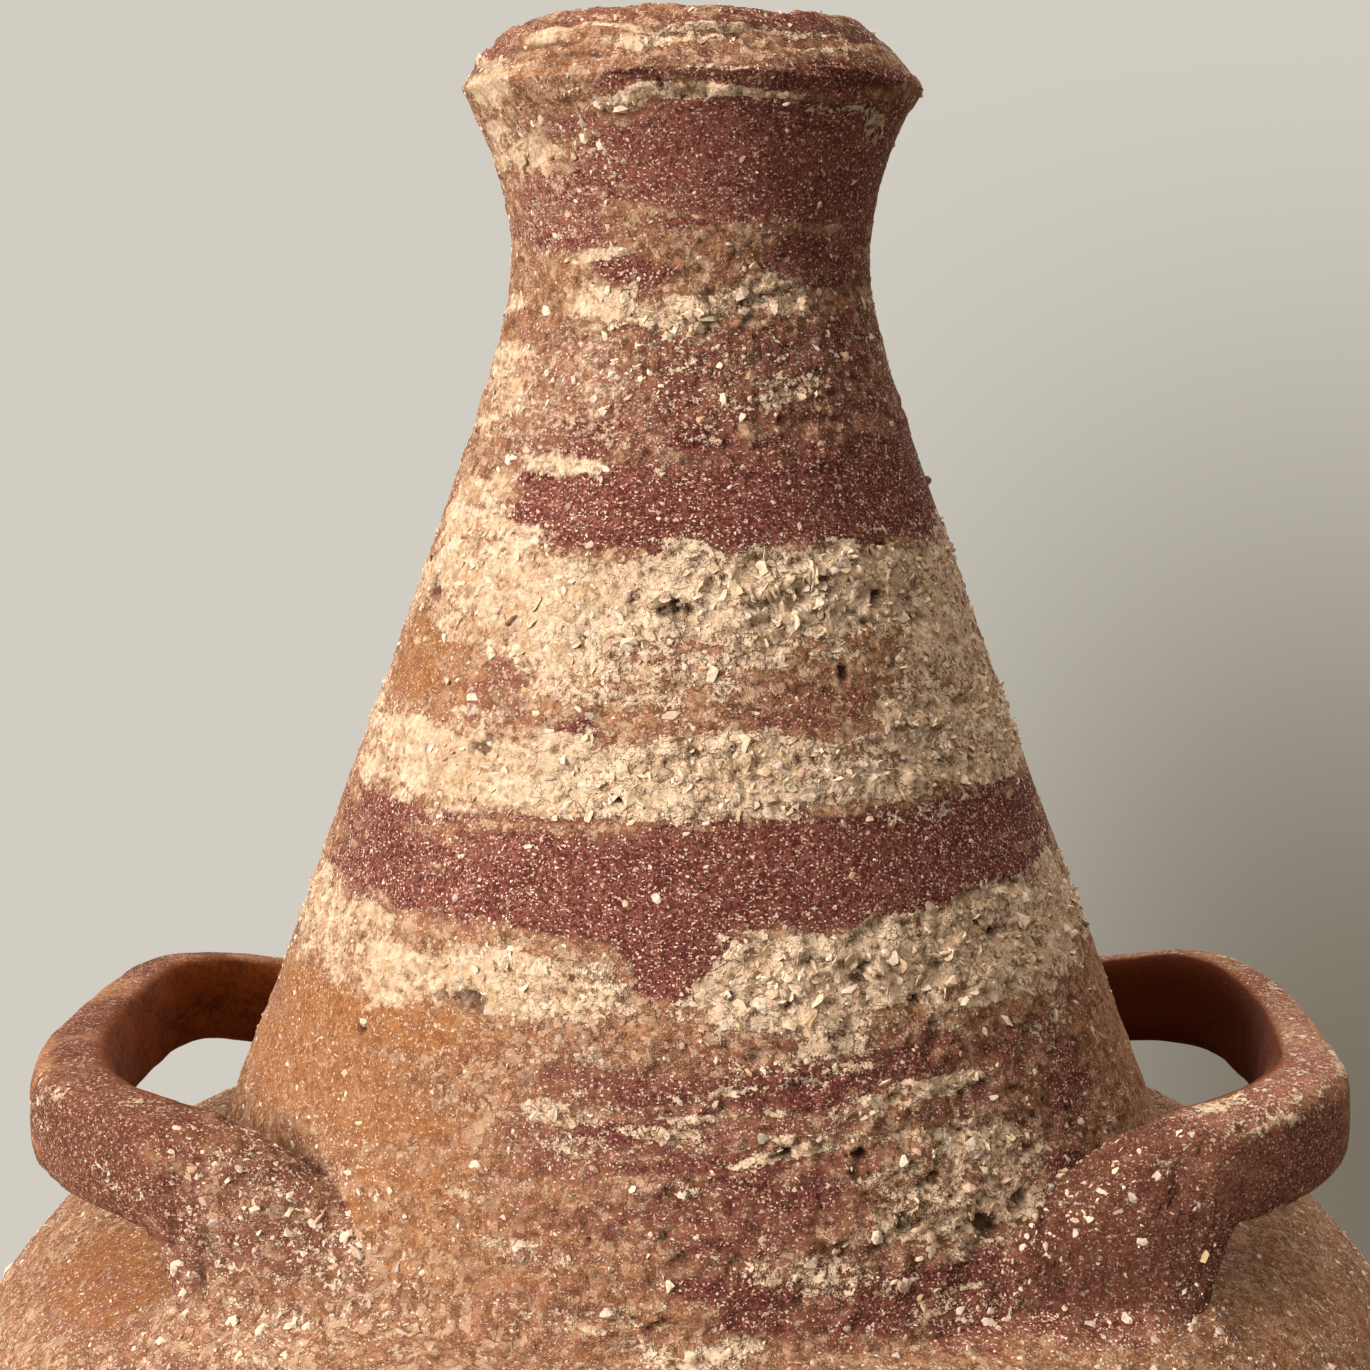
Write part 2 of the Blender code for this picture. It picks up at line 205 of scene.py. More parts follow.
def loopDistance(p):
    # how far points are from the loops, how wide clay is run together there, and how far above
    h = handlePiece
    angle = sideAngle(p)
    clipped = np.clip(angle, -h["rootTip"] + 4, h["rootTip"] - 4)
    centre, thick, height, lean = loopSection(clipped, np.where(p[:, 0] < 0, -1, 1))
    up = p[:, 2] - centre[:, 2]
    r = np.hypot(p[:, 0], p[:, 1])
    across = r - np.hypot(centre[:, 0], centre[:, 1]) + lean * up
    corner = 0.35 * thick
    qx, qz = np.abs(across) - thick / 2 + corner, np.abs(up) - height / 2 + corner
    d = np.hypot(np.maximum(qx, 0), np.maximum(qz, 0)) + np.minimum(np.maximum(qx, qz), 0) - corner
    low = np.maximum(ramp(-up, -0.002, 0.010), ramp(np.abs(angle), 46, 56))
    crease = np.where(p[:, 0] < 0, h["crease"][-1], h["crease"][1])
    above = up - height / 2
    beyond = np.radians(np.abs(angle - clipped)) * r
    return np.hypot(np.maximum(d, 0), beyond), crease + (h["fillet"] - crease) * low, above


def runTogether(distance, width):  # two lumps of clay run together over a width
    return np.maximum(width - np.maximum(distance, 0), 0) ** 2 / (4 * width)


# the marbling: smears of clay laid on by hand, as angle, half angle, height mm, half height mm, strength
# and climb; angles in degrees round from the front, to the right, climb in mm a degree
smears = dict(
    # dark red bands
    red=[(30, 62, 472.6, 11.6, 1.05, 0.01), (-48, 22, 463, 6, 0.60, 0), (180, 95, 471, 10, 0.85, 0),
        (-16, 15, 452.5, 3.0, 0.75, -0.02), (48, 32, 456, 6, 0.62, 0), (20, 80, 434, 11, 0.56, 0),
        (30, 62, 410.5, 7.0, 1.05, 0.01), (36, 56, 419, 5.0, 0.66, 0), (-26, 20, 409, 5.0, 0.95, 0),
        (-30, 22, 419, 4.5, 0.48, 0), (175, 90, 413, 9, 0.85, 0), (8, 62, 348, 10.2, 1.10, 0.015),
        (175, 95, 348, 9, 0.9, 0), (-62, 16, 347, 9, 0.38, 0), (-6, 15, 354.5, 2.6, -0.42, 0),
        (-34, 8, 353, 3, -0.3, 0), (-5, 9, 338, 5, 1.0, 0), (-4, 5.5, 333, 5, 1.1, 0),
        (-34, 7, 378, 8, 0.42, 0), (-19.5, 4, 371.5, 2.8, 0.62, 0), (21, 13, 375.5, 4.5, 0.44, 0),
        (62, 14, 378, 7, 0.35, 0), (-12, 8, 313, 3.5, 0.46, 0), (-13, 8, 304, 4.5, 0.52, 0.05),
        (5, 14, 309, 11, 0.46, 0), (22, 14, 315, 6, 0.46, 0.05), (54, 6, 304, 4.5, 0.60, 0),
        (44, 16, 312, 7, 0.26, 0), (6, 12, 294, 6, 0.50, 0), (41, 32, 277.5, 5.6, 0.95, 0),
        (4, 6, 280, 5, 0.7, 0), (172, 84, 279, 8, 0.8, 0), (150, 50, 312, 6, 0.6, 0.05),
        (-140, 40, 304, 7, 0.6, -0.05), (10, 75, 498, 3.2, 0.52, 0), (30, 50, 487.4, 2.2, 0.42, 0),
        (15, 60, 491, 4, 0.28, 0), (-62, 14, 492, 5, 0.45, 0), (180, 90, 491, 8, 0.5, 0),
        (-140, 50, 256, 6, 0.5, 0), (-42, 30, 262, 5, 0.32, 0), (120, 40, 254, 6, 0.5, 0)],
    # pale shell bands
    cream=[(-4.5, 6.5, 335.5, 6, -1.0, 0), (-14, 62, 394.5, 9.2, 1.0, 0), (62, 26, 394, 10, 0.72, 0),
        (180, 92, 394, 9, 0.85, 0), (8, 34, 312, 9, 0.20, 0), (-67, 10, 406, 8, 0.85, 0),
        (-52, 9, 411, 5, 0.55, 0), (-8, 20, 380, 5, 0.55, 0), (60, 24, 376, 10, 0.62, 0),
        (180, 90, 377, 6, 0.3, 0), (-22, 58, 364.5, 6.6, 1.0, 0), (60, 26, 365, 7.5, 0.72, 0),
        (180, 92, 365, 7, 0.9, 0), (21, 24, 331, 9.2, 1.10, 0.03), (62, 20, 331.5, 9.5, 0.78, 0),
        (-23, 15, 329.5, 6.4, 0.80, 0), (-63, 19, 330, 8.0, 0.60, 0), (-42, 7, 328, 5.5, 0.55, 0),
        (178, 98, 331, 8.5, 0.8, 0), (31.5, 13, 293.5, 10, 0.68, 0.03), (53, 8, 314.5, 3.4, 0.56, 0.08),
        (9, 9, 303.2, 1.1, 0.75, 0.08), (-4, 5, 307.5, 1.2, 0.62, 0), (16, 10, 318, 1.5, 0.55, 0.1),
        (27, 10, 309.5, 1.6, 0.55, 0.1), (-16, 5, 309.5, 1.8, 0.62, 0), (12, 12, 314, 1.0, 0.5, 0.1),
        (15, 10, 282, 3.4, 0.72, -0.2), (1.5, 7, 272.8, 2.2, 0.8, 0), (-18, 5, 286, 1.8, 0.55, 0),
        (-25, 4, 294, 1.5, 0.55, 0), (40, 18, 274.5, 1.6, 0.55, 0), (-12, 10, 277, 2.0, 0.45, 0),
        (-30, 9, 456.0, 0.9, 0.66, 0.14), (-29, 11, 447.5, 4.2, 0.92, 0), (-19, 5, 450, 2.4, 0.9, 0),
        (-4, 15, 445.4, 2.8, 0.92, 0), (24, 16, 448.8, 3.6, 0.80, 0.02), (-70, 12, 447.5, 2.4, 0.7, 0),
        (-28, 58, 433, 9, 0.31, 0), (50, 30, 437, 10, 0.12, 0), (180, 90, 436, 10, 0.35, 0),
        (-62, 16, 430, 8, 0.30, 0), (-32, 12, 417.3, 1.5, 0.72, 0), (-30, 60, 420, 5, 0.18, 0),
        (120, 40, 447, 3, 0.6, 0), (-130, 40, 300, 3, 0.6, 0.04), (140, 30, 292, 8, 0.8, 0),
        (-17, 9, 484, 1.25, 1.0, 0.16), (2, 13, 485.4, 1.3, 1.05, 0.0), (22, 10, 484.2, 0.9, 0.7, -0.06),
        (42, 14, 481.6, 0.9, 0.5, 0), (0, 34, 496.2, 0.8, 0.95, 0), (-5, 20, 493.9, 0.8, 0.9, 0.02),
        (-44, 9, 494.8, 1.7, 0.85, 0), (4, 16, 489.4, 0.6, 0.62, 0), (30, 22, 493, 0.6, 0.5, 0),
        (-60, 12, 486.4, 2.4, 0.95, 0.02), (-66, 14, 491, 1.0, 0.65, 0), (-62, 20, 483, 8, 0.34, 0),
        (-50, 10, 473.5, 2.4, 1.0, -0.02), (-76, 9, 474, 1.6, 0.7, 0), (-68, 9, 479.5, 1.3, 0.5, 0),
        (60, 7, 478.6, 2.0, 0.55, -0.15), (140, 50, 486, 1.2, 0.8, 0), (-140, 40, 489, 1.1, 0.8, 0.01),
        (180, 60, 495, 0.8, 0.7, 0), (-48, 30, 466, 9, 0.2, 0), (0, 400, 250, 22, 0.05, 0),
        (85, 60, 250, 22, 0.20, 0)],
    # warm ochre
    ochre=[(-58, 26, 307, 15, 0.85, 0), (-26, 16, 291, 11, 0.60, 0), (-66, 11, 381, 9, 0.95, 0),
        (-48, 10, 378, 8, 0.6, 0), (-10, 12, 281, 6, 0.50, 0), (66, 20, 303, 16, 0.6, 0),
        (-50, 40, 440, 18, 0.3, 0), (-50, 25, 489, 9, 0.4, 0), (-45, 20, 319, 5, 0.5, 0),
        (180, 70, 305, 14, 0.7, 0), (-66, 9, 267, 6, 1.25, 0), (0, 400, 246, 26, 0.10, 0),
        (75, 42, 252, 24, 0.42, 0)])
# below the shoulder: the same clays, each band laid on in three strokes that don't quite meet
lowerBands = [
    ("red", 220, 8, 0.85), ("cream", 200, 11, 0.85), ("red", 176, 9, 0.95), ("ochre", 154, 12, 0.7),
    ("cream", 134, 8, 0.8), ("red", 116, 8, 0.9), ("cream", 98, 5, 0.5), ("ochre", 78, 13, 0.7),
    ("red", 50, 9, 0.85), ("cream", 33, 5, 0.55), ("ochre", 12, 14, 0.6)]
for k, (clay, height, half, strength) in enumerate(lowerBands):
    for stroke in range(3):
        sway = math.sin(2.1 * k + 4.3 * stroke)
        at = 120 * stroke + 40 * math.sin(1.7 * k + stroke)
        halfAngle = 62 + 16 * math.sin(3.1 * k + 2 * stroke)
        halfHeight = half * (1 + 0.35 * math.sin(5.3 * k + 1.9 * stroke))
        climb = 0.05 * math.cos(2.9 * k + stroke)
        cover = strength * (1 + 0.15 * sway)
        smears[clay].append((at, halfAngle, height + 4 * sway, halfHeight, cover, climb))


def wiped(p):  # 1 on the left of the neck, where the clay was wiped smooth
    return within(frontAngle(p), -130, -100, -38, -2)


def farRight(p):  # 1 on the right of the vase, where the clay is smoother
    return within(frontAngle(p), 48, 72, 100, 140)


def lipLayers(p):  # the rim is built of thin layers, some standing proud
    return roughNoise(p, (0.024, 0.024, 0.0021), 25, 2) * ramp(p[:, 2], 0.480, 0.486)


# zones, as within takes them: the clays are worked together low and high on the neck, the top band's red is
# painted lighter as painted light under the lip
clayZones = dict(lowNeck=(0.268, 0.278, 0.314, 0.326), lowNeckAngle=(-34, -14, 62, 80),
                 highNeck=(0.412, 0.420, 0.446, 0.456), topBand=(0.456, 0.462, 0.484, 0.488))


def marbling(p):  # how much of each clay shows at each point
    warpZ = 1.0 * softNoise(p, (0.030, 0.030, 0.016), 3) + 0.9 * roughNoise(p, (0.011, 0.011, 0.0045), 5, 3)
    warpA = 2.0 * softNoise(p, 0.020, 8) + 2.0 * roughNoise(p, 0.007, 9, 2)
    torn = 0.30 * roughNoise(p, (0.012, 0.012, 0.0032), 11, 3)
    backward = p[:, 1] / np.hypot(p[:, 0], p[:, 1] + 1e-9)
    wander = np.maximum(1 - ramp(p[:, 2], 0.222, 0.248), ramp(backward, 0.1, 0.6))
    z = p[:, 2] / mm + warpZ + 4.5 * wander * softNoise(p, (0.07, 0.07, 0.045), 4)
    angle = frontAngle(p) + warpA
    clays = {}
    for clay, strokes in smears.items():
        clays[clay] = np.zeros(len(p))
        for at, half, height, halfHeight, strength, climb in strokes:
            turn = (angle - at + 180) % 360 - 180
            lift = np.clip(turn, -half, half) * climb if half < 360 else 0.0
            up = np.abs(z - height - lift) / halfHeight
            side = np.abs(turn) / half if half < 360 else 0.0
            power = 2.0 if half < 17 else 4.0  # short smears are lens-shaped, long ones run on as bands
            reach = (up ** power + side ** power) ** (1 / power) + torn
            clays[clay] += strength * ramp(1.38 - reach, 0, 0.76)
    patchy = roughNoise(p, (0.018, 0.018, 0.006), 21, 3)
    near, _, above = loopDistance(p)  # the roots are smeared out over neck and shoulder
    smeared = ramp(1.05 - near / mm / 15 + 0.45 * patchy, 0.10, 0.95) * (1 - ramp(above / mm, -2, 3))
    left = p[:, 0] < 0
    leftRed = 0.26 + 0.28 * ramp(p[:, 2], 0.270, 0.288) + 0.28 * patchy
    rootRed = np.where(left, leftRed, 0.72 + 0.15 * patchy)
    clays["cream"] = clays["cream"] * (1 - 0.8 * smeared) + smeared * np.where(left, 0.31, 0.08)
    clays["red"] = clays["red"] * (1 - smeared) + smeared * rootRed
    clays["ochre"] = clays["ochre"] * (1 - 0.7 * smeared)
    around = frontAngle(p)
    start, full, ease, end = clayZones["lowNeckAngle"]
    mixed = within(p[:, 2], *clayZones["lowNeck"])
    mixed = mixed * ramp(around, start, full) * (1 - ramp(around, ease, end))
    streaks = roughNoise(p, (0.022, 0.022, 0.0026), 27, 3)
    clays["cream"] = clays["cream"] * (1 - 0.2 * mixed) + 0.32 * mixed * ramp(streaks, 0.40, 1.0)
    clays["red"] = clays["red"] + mixed * (0.16 + 0.32 * ramp(-streaks, -0.1, 0.7))
    clays["ochre"] = clays["ochre"] * (1 - 0.45 * mixed)
    upper = within(p[:, 2], *clayZones["highNeck"])
    clays["blend"] = np.maximum(np.maximum(mixed, 0.8 * upper), 0.4 * smeared)
    clays["red"] = clays["red"] + 0.10 * upper
    layered = 0.36 * ramp(lipLayers(p), 0.40, 0.9)
    clays["cream"] = np.clip(clays["cream"] * (1 + 0.25 * patchy) + layered, 0, 1.3)
    covered = 0.45 * ramp(clays["cream"], 0.6, 1.0)
    clays["red"] = np.clip(clays["red"] * (1 - 0.2 * patchy), 0, 1.3) * (1 - covered)
    clays["ochre"] = np.clip(clays["ochre"] + 0.12 * patchy, 0, 1)
    return clays


# deeper pits: angle, height mm, size mm
pits = [
    (-3.5, 393, 1.8), (-66, 393, 2.0), (40, 394, 1.9), (28, 381, 1.6), (-30, 326.3, 1.3), (-47, 316, 1.3),
    (34, 287, 2.1), (38, 289.5, 1.4), (26, 391.5, 1.2), (-12, 361, 1.2), (47, 333, 1.5), (12, 327, 1.5),
    (30, 325, 1.4), (28, 297, 1.7), (24, 290, 1.4), (42, 297, 1.6), (19, 302, 1.3), (33, 303, 1.2)]


# relief in mm: how far big faces, small faces and crags stand out on each ground, then the rest
claySurface = dict(coarse=(0.85, 0.46, 0.60), plain=(0.15, 0.27, 0.18), worked=(0.38, 0.34, 0.22),
                   fine=0.05, pitDepth=1.7, wavy=0.30, rings=0.16, layerProud=0.5, layerSunk=0.3)


def relief(p, clays):
    # how far the clay stands out, metres, and how deep its crevices are, 0 to 1, which is painted into the
    # colour as shade
    cream, red = np.clip(clays["cream"], 0, 1), np.clip(clays["red"], 0, 1)
    angle = frontAngle(p)
    calm = 1 - 0.55 * wiped(p) - 0.40 * farRight(p)
    coarse = ramp(cream, 0.42, 0.90)
    smooth = np.maximum(ramp(red, 0.45, 0.8), 0.8 * ramp(clays["ochre"], 0.5, 0.9))
    middling = (1 - coarse) * (1 - 0.85 * smooth)
    big = facets(p, (0.0046, 0.0046, 0.0034), 40)
    small = facets(p, 0.0021, 60)
    crag = roughNoise(p, (0.0060, 0.0060, 0.0042), 70, 3)

    def broken(kind):
        return sum(weight * face for weight, face in zip(claySurface[kind], (big, small, crag)))

    out = coarse * calm * (broken("coarse") - 0.25)
    out += middling * broken("plain")
    out += (1 - coarse) * claySurface["fine"] * roughNoise(p, 0.003, 71, 2)
    out += (1 - coarse) * calm * clays["blend"] * broken("worked")
    holeNear, holeNumber = grains(p, (0.0125, 0.0125, 0.0100), 80)[:2]
    ragged = roughNoise(p, 0.0028, 82, 2)
    holeNear = holeNear * (0.9 + 0.55 * ragged)
    hole = ramp(0.17 - holeNear, 0.0, 0.10) * (holeNumber > 0.70) * ramp(coarse + 0.45 * middling, 0.25, 0.7)
    for pitAngle, height, size in pits:
        across = np.radians((angle - pitAngle + 180) % 360 - 180) * np.hypot(p[:, 0], p[:, 1]) / mm
        away = np.hypot(0.8 * across, 1.25 * (p[:, 2] / mm - height))
        hole = np.maximum(hole, ramp(1.2 - away / size - 0.8 * ragged, 0.0, 0.5))
    out -= claySurface["pitDepth"] * hole
    waves = claySurface["wavy"] * softNoise(p, 0.045, 90)
    out += waves + claySurface["rings"] * softNoise(p, (0.05, 0.05, 0.008), 91)
    layers = lipLayers(p)
    proud = claySurface["layerProud"] * ramp(layers, 0.10, 0.35)
    out += proud - claySurface["layerSunk"] * ramp(-layers, 0.05, 0.5)
    out *= 1 - 0.45 * farRight(p)
    # the crevice values are painted shade: layer grooves, sunk crags, holes and low spots are darkened in the
    # colour
    sunk = (-0.12 - 0.50 * crag - 0.30 * big - 0.25 * small).clip(0)
    crevice = 0.6 * ramp(-layers, 0.25, 0.6) + 0.72 * coarse * sunk * calm + 0.9 * hole
    crevice = crevice + middling * 0.45 * np.clip(-0.15 - small - 0.4 * crag, 0, 1)
    worked = (1 - coarse) * clays["blend"]
    crevice = crevice + worked * 0.30 * np.clip(-0.2 - 0.6 * big - 0.5 * small, 0, 1)
    return out * mm, np.clip(crevice, 0, 1)


# meshes

def newPiece(name, bm, node, material):
    mesh = bpy.data.meshes.new(name)
    bm.to_mesh(mesh)
    bm.free()
    mesh.materials.append(material)
    piece = bpy.data.objects.new(name, mesh)
    scene.collection.objects.link(piece)
    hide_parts(node)
    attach(piece, "root")
    return piece


def readPoints(mesh):
    flat = np.empty(len(mesh.vertices) * 3, np.float32)
    mesh.vertices.foreach_get("co", flat)
    return flat.reshape(-1, 3).astype(float)


def readNormals(mesh):
    flat = np.empty(len(mesh.vertices) * 3, np.float32)
    mesh.vertex_normals.foreach_get("vector", flat)
    return flat.reshape(-1, 3).astype(float)


def readLayer(mesh, name):
    values = np.empty(len(mesh.vertices), np.float32)
    mesh.attributes[name].data.foreach_get("value", values)
    return values.astype(float)


def movePoints(mesh, points):
    mesh.vertices.foreach_set("co", points.astype(np.float32).ravel())
    mesh.update()


def paint(mesh, **layers):  # numbers the clay reads at each point
    for name, values in layers.items():
        layer = mesh.attributes.get(name) or mesh.attributes.new(name, "FLOAT", "POINT")
        layer.data.foreach_set("value", np.asarray(values, np.float32))


def bentSheet(columns, rows, bend):
    # a grid bent into a skin; bend gives the points and the numbers kept on them
    bm = bmesh.new()
    bmesh.ops.create_grid(bm, x_segments=columns, y_segments=rows, size=1)
    spots = np.array([v.co[:2] for v in bm.verts])
    column = np.rint((spots[:, 0] + 1) / 2 * columns).astype(int) % columns
    row = np.rint((spots[:, 1] + 1) / 2 * rows).astype(int)
    points, kept = bend(column, row)
    for v, co in zip(bm.verts, points.tolist()):
        v.co = co
    for name, values in kept.items():
        layer = bm.verts.layers.float.new(name)
        for v, value in zip(bm.verts, values.tolist()):
            v[layer] = value
    bmesh.ops.remove_doubles(bm, verts=bm.verts, dist=1e-6)
    for f in bm.faces:
        f.smooth = True
    return bm


def turnedSkin(outline, around, cuts=()):
    # outline: closed loop of (radius, height, skin), skin 1 outside; cuts: heights where the skin breaks off
    outline = np.array(outline, float)

    def bend(column, row):
        r, z, skin = outline[row % len(outline)].T
        angle = 2 * math.pi * column / around
        return np.stack([r * np.sin(angle), -r * np.cos(angle), z], 1), dict(skin=skin)

    bm = bentSheet(around, len(outline), bend)
    layer = bm.verts.layers.float["skin"]
    for e in bm.edges:
        v, w = e.verts
        outside = v[layer] > 0.5 and w[layer] > 0.5
        level = abs(v.co.z - w.co.z) < 1e-7
        if outside and level and any(abs(v.co.z - c) < 1e-6 for c in cuts):
            e.smooth = False
    bmesh.ops.recalc_face_normals(bm, faces=bm.faces)
    return bm


def spaced(start, end, step):
    return np.linspace(start, end, max(int(round(abs(end - start) / step)), 1) + 1)


print("form and marbling ready")


# shader maths on sockets

class Wire:
    def __init__(self, tree, socket=None):
        self.tree, self.socket = tree, socket

    def node(self, kind, settings=None, out=0, **inputs):
        made = self.tree.nodes.new(kind)
        for key, value in (settings or {}).items():
            if key == "stops":
                stops = made.color_ramp.elements
                while len(stops) < len(value):
                    stops.new(0.5)
                for stop, (place, colour) in zip(stops, value):
                    stop.position, stop.color = place, (*colour, 1.0)
            else:
                setattr(made, key, value)
        for key, value in inputs.items():
            numbered = key[0] == "i" and key[1:].isdigit()
            socket = made.inputs[int(key[1:]) if numbered else key.replace("_", " ")]
            if isinstance(value, Wire):
                self.tree.links.new(value.socket, socket)
            else:
                socket.default_value = value
        return Wire(self.tree, made.outputs[out])

    def also(self, name):  # another output of the same node
        return Wire(self.tree, self.socket.node.outputs[name])

    def maths(self, operation, first, second):
        return self.node("ShaderNodeMath", dict(operation=operation), i0=first, i1=second)

    def __add__(self, other):
        return self.maths("ADD", self, other)

    def __radd__(self, other):
        return self.maths("ADD", other, self)

    def __sub__(self, other):
        return self.maths("SUBTRACT", self, other)

    def __rsub__(self, other):
        return self.maths("SUBTRACT", other, self)

    def __mul__(self, other):
        return self.maths("MULTIPLY", self, other)

    def __rmul__(self, other):
        return self.maths("MULTIPLY", other, self)

    def step(self, low, high):  # 0 below low, 1 above high
        return self.node("ShaderNodeMapRange", dict(interpolation_type="SMOOTHSTEP"),
                         Value=self, From_Min=low, From_Max=high, To_Min=0.0, To_Max=1.0)

    def colours(self, first, second):  # this value mixes two colours
        return self.node("ShaderNodeMix", dict(data_type="RGBA"), out=2, i0=self,
                         i6=first if isinstance(first, Wire) else (*first, 1.0),
                         i7=second if isinstance(second, Wire) else (*second, 1.0))

    def into(self, shader, name):
        self.tree.links.new(self.socket, shader.inputs[name])


def startMaterial(name):
    material = bpy.data.materials.new(name)
    material.use_nodes = True
    shader = material.node_tree.nodes["Principled BSDF"]
    shader.inputs["Specular IOR Level"].default_value = 0.08
    return material, shader, Wire(material.node_tree)


def layerOf(wire, name):
    return wire.node("ShaderNodeAttribute", dict(attribute_name=name), out=2)


clayColours = dict(
    red=(0.077, 0.0183, 0.0156), redLight=(0.286, 0.102, 0.077),
    brown=(0.100, 0.034, 0.021), brownLight=(0.315, 0.130, 0.080),
    tan=(0.42, 0.218, 0.122), tanDark=(0.205, 0.086, 0.047),
    ochre=(0.355, 0.155, 0.061), ochreDark=(0.190, 0.073, 0.027),
    # the two hollow colours are painted shade for the insides of the loops
    hollow=(0.165, 0.039, 0.004), hollowShadeDark=(0.075, 0.014, 0.0015),
    cream=(0.76, 0.572, 0.41), creamDark=(0.48, 0.305, 0.175),
    chip=(0.66, 0.47, 0.32), speckPink=(0.47, 0.262, 0.19), speckPale=(0.86, 0.67, 0.50),
    # the crack and crevice colours are painted shade for cracks, crevices, grooves and pits
    crack=(0.190, 0.085, 0.038), crevice=(0.070, 0.028, 0.015))


def marbledClay(name, c):
    material, shader, wire = startMaterial(name)
    spot = wire.node("ShaderNodeTexCoord", out=3)
    strata = wire.node("ShaderNodeMapping", i0=spot, i3=(1.0, 1.0, 2.1))

    def noise(scale, where=spot, detail=2.0, out=0):
        return wire.node("ShaderNodeTexNoise", None, out, Vector=where, Scale=scale,
                         Detail=detail, Roughness=0.55)

    def shifted(by, amount):  # the place, pushed about by a noise
        return wire.node("ShaderNodeVectorMath", dict(operation="MULTIPLY_ADD"), 0,
                         i0=by, i1=(amount,) * 3, i2=spot)

    def cells(scale, where):
        made = wire.node("ShaderNodeTexVoronoi", dict(feature="F1"), 0, Vector=where, Scale=scale)
        return made, wire.node("ShaderNodeSeparateColor", None, 0, Color=made.also("Color"))

    cream, red, ochre, brown, hollow, crevice, wipe, blend, dusty = (layerOf(wire, n) for n in (
        "cream", "red", "ochre", "brown", "hollow", "crevice", "wiped", "blend", "dusty"))
    streaky, grainy, mottle = noise(240, strata, 3), noise(800), noise(85, strata, 3)
    shaken = shifted(noise(1700, spot, 1, 1), 0.0008)
    sand = cells(2500.0, shaken)[1]  # the body is sandy, every grain its own tone
    grain = 0.85 * sand + 0.5 * (grainy - 0.5) + 0.075
    quiet = grain - 0.45 * wipe * (grain - 0.48)
    scatter = 1.35 * (streaky - 0.5) + 1.25 * (grainy - 0.5) + 0.22 * (sand - 0.5)
    creamMask = (cream + scatter).step(0.41 - 0.24 * wipe, 0.59 + 0.24 * wipe)
    uneven = (1.1 + 0.9 * blend) * (streaky - 0.5) + 0.9 * (grainy - 0.5)
    uneven = uneven + (0.35 + 0.55 * blend) * (sand - 0.5)
    redMask = (red + uneven).step(0.32 - 0.10 * blend, 0.54 + 0.20 * blend)
    bent = shifted(noise(330, spot, 3, 1), 0.0052)
    plates, split = [], None  # broken plates of clay and shell, cracked apart; the cracks are bumped in and painted dark as shade
    for scale, wide in ((235.0, 0.045), (600.0, 0.045)):
        plates.append(cells(scale, bent)[1])
        gap = wire.node("ShaderNodeTexVoronoi", dict(feature="DISTANCE_TO_EDGE"), 0, Vector=bent, Scale=scale)
        parted = (wide - gap).step(0.0, 0.05) * (plates[-1].also("Blue") + streaky).step(0.85, 1.15)
        split = parted if split is None else split.maths("MAXIMUM", split, parted)
    broken = creamMask * (1 - 0.8 * wipe) + (1 - creamMask) * (1 - redMask) * (1 - ochre) * 0.55 * (1 - brown)
    tan = (quiet + 0.45 * (plates[1] - 0.5)).step(0.10, 0.85).colours(c["tanDark"], c["tan"])
    warm = (quiet + 0.35 * (plates[1] - 0.5)).step(0.05, 0.85).colours(c["ochreDark"], c["ochre"])
    ground = ochre.colours(tan, warm)
    # a painted light term lifts the red where it is positive and lowers it where it is negative
    deep = (0.8 * grain + 0.5 * (mottle - 0.5) + 0.16 * dusty).step(0.12, 0.92)
    redClay = brown.colours(deep.colours(c["red"], c["redLight"]), deep.colours(c["brown"], c["brownLight"]))
    ground = redMask.colours(ground, redClay)
    chip = (plates[1].also("Green") - 0.66).step(0.0, 0.06) * broken * (1 - creamMask)
    ground = (chip * 0.9).colours(ground, c["chip"])
    mealy = 0.34 * grainy + 0.34 * streaky + 0.20 * plates[0] + 0.10 * plates[1] - 0.08 * wipe
    pale = mealy.step(0.24, 0.60).colours(c["creamDark"], c["cream"])
    ground = creamMask.colours(ground, pale)
    speck = None  # brighter grit, a different size and tone in every cell
    slanted = wire.node("ShaderNodeMapping", i0=shaken, i2=(0.35, 0.55, 0.0), i3=(1.0, 1.0, 2.6))
    shows = (1 - 0.7 * creamMask) * (1 - 0.4 * brown) * (0.72 + 0.28 * redMask)
    gritSizes = ((1850.0, 0.72, 0.22, shaken), (1050.0, 0.95, 0.48, slanted), (720.0, 1.6, 1.25, shaken))
    for scale, size, least, where in gritSizes:
        near, chance = cells(scale, where)
        there = (chance * size - least - near).step(-0.03, 0.08) * shows
        ground = there.colours(ground, chance.also("Green").colours(c["speckPink"], c["speckPale"]))
        speck = there if speck is None else speck + there
    rough = 0.16 + 0.6 * creamMask + 0.34 * (1 - redMask) * (1 - 0.55 * wipe)
    # painted shade in the low spots of the grain, where the rough ground dips
    dentShade = (0.46 - grainy).step(0.0, 0.12) * rough
    ground = (dentShade * (0.40 - 0.14 * creamMask)).colours(ground, c["crevice"])
    # painted shade in the cracks between the plates
    ground = (split * broken * 0.75).colours(ground, c["crack"])
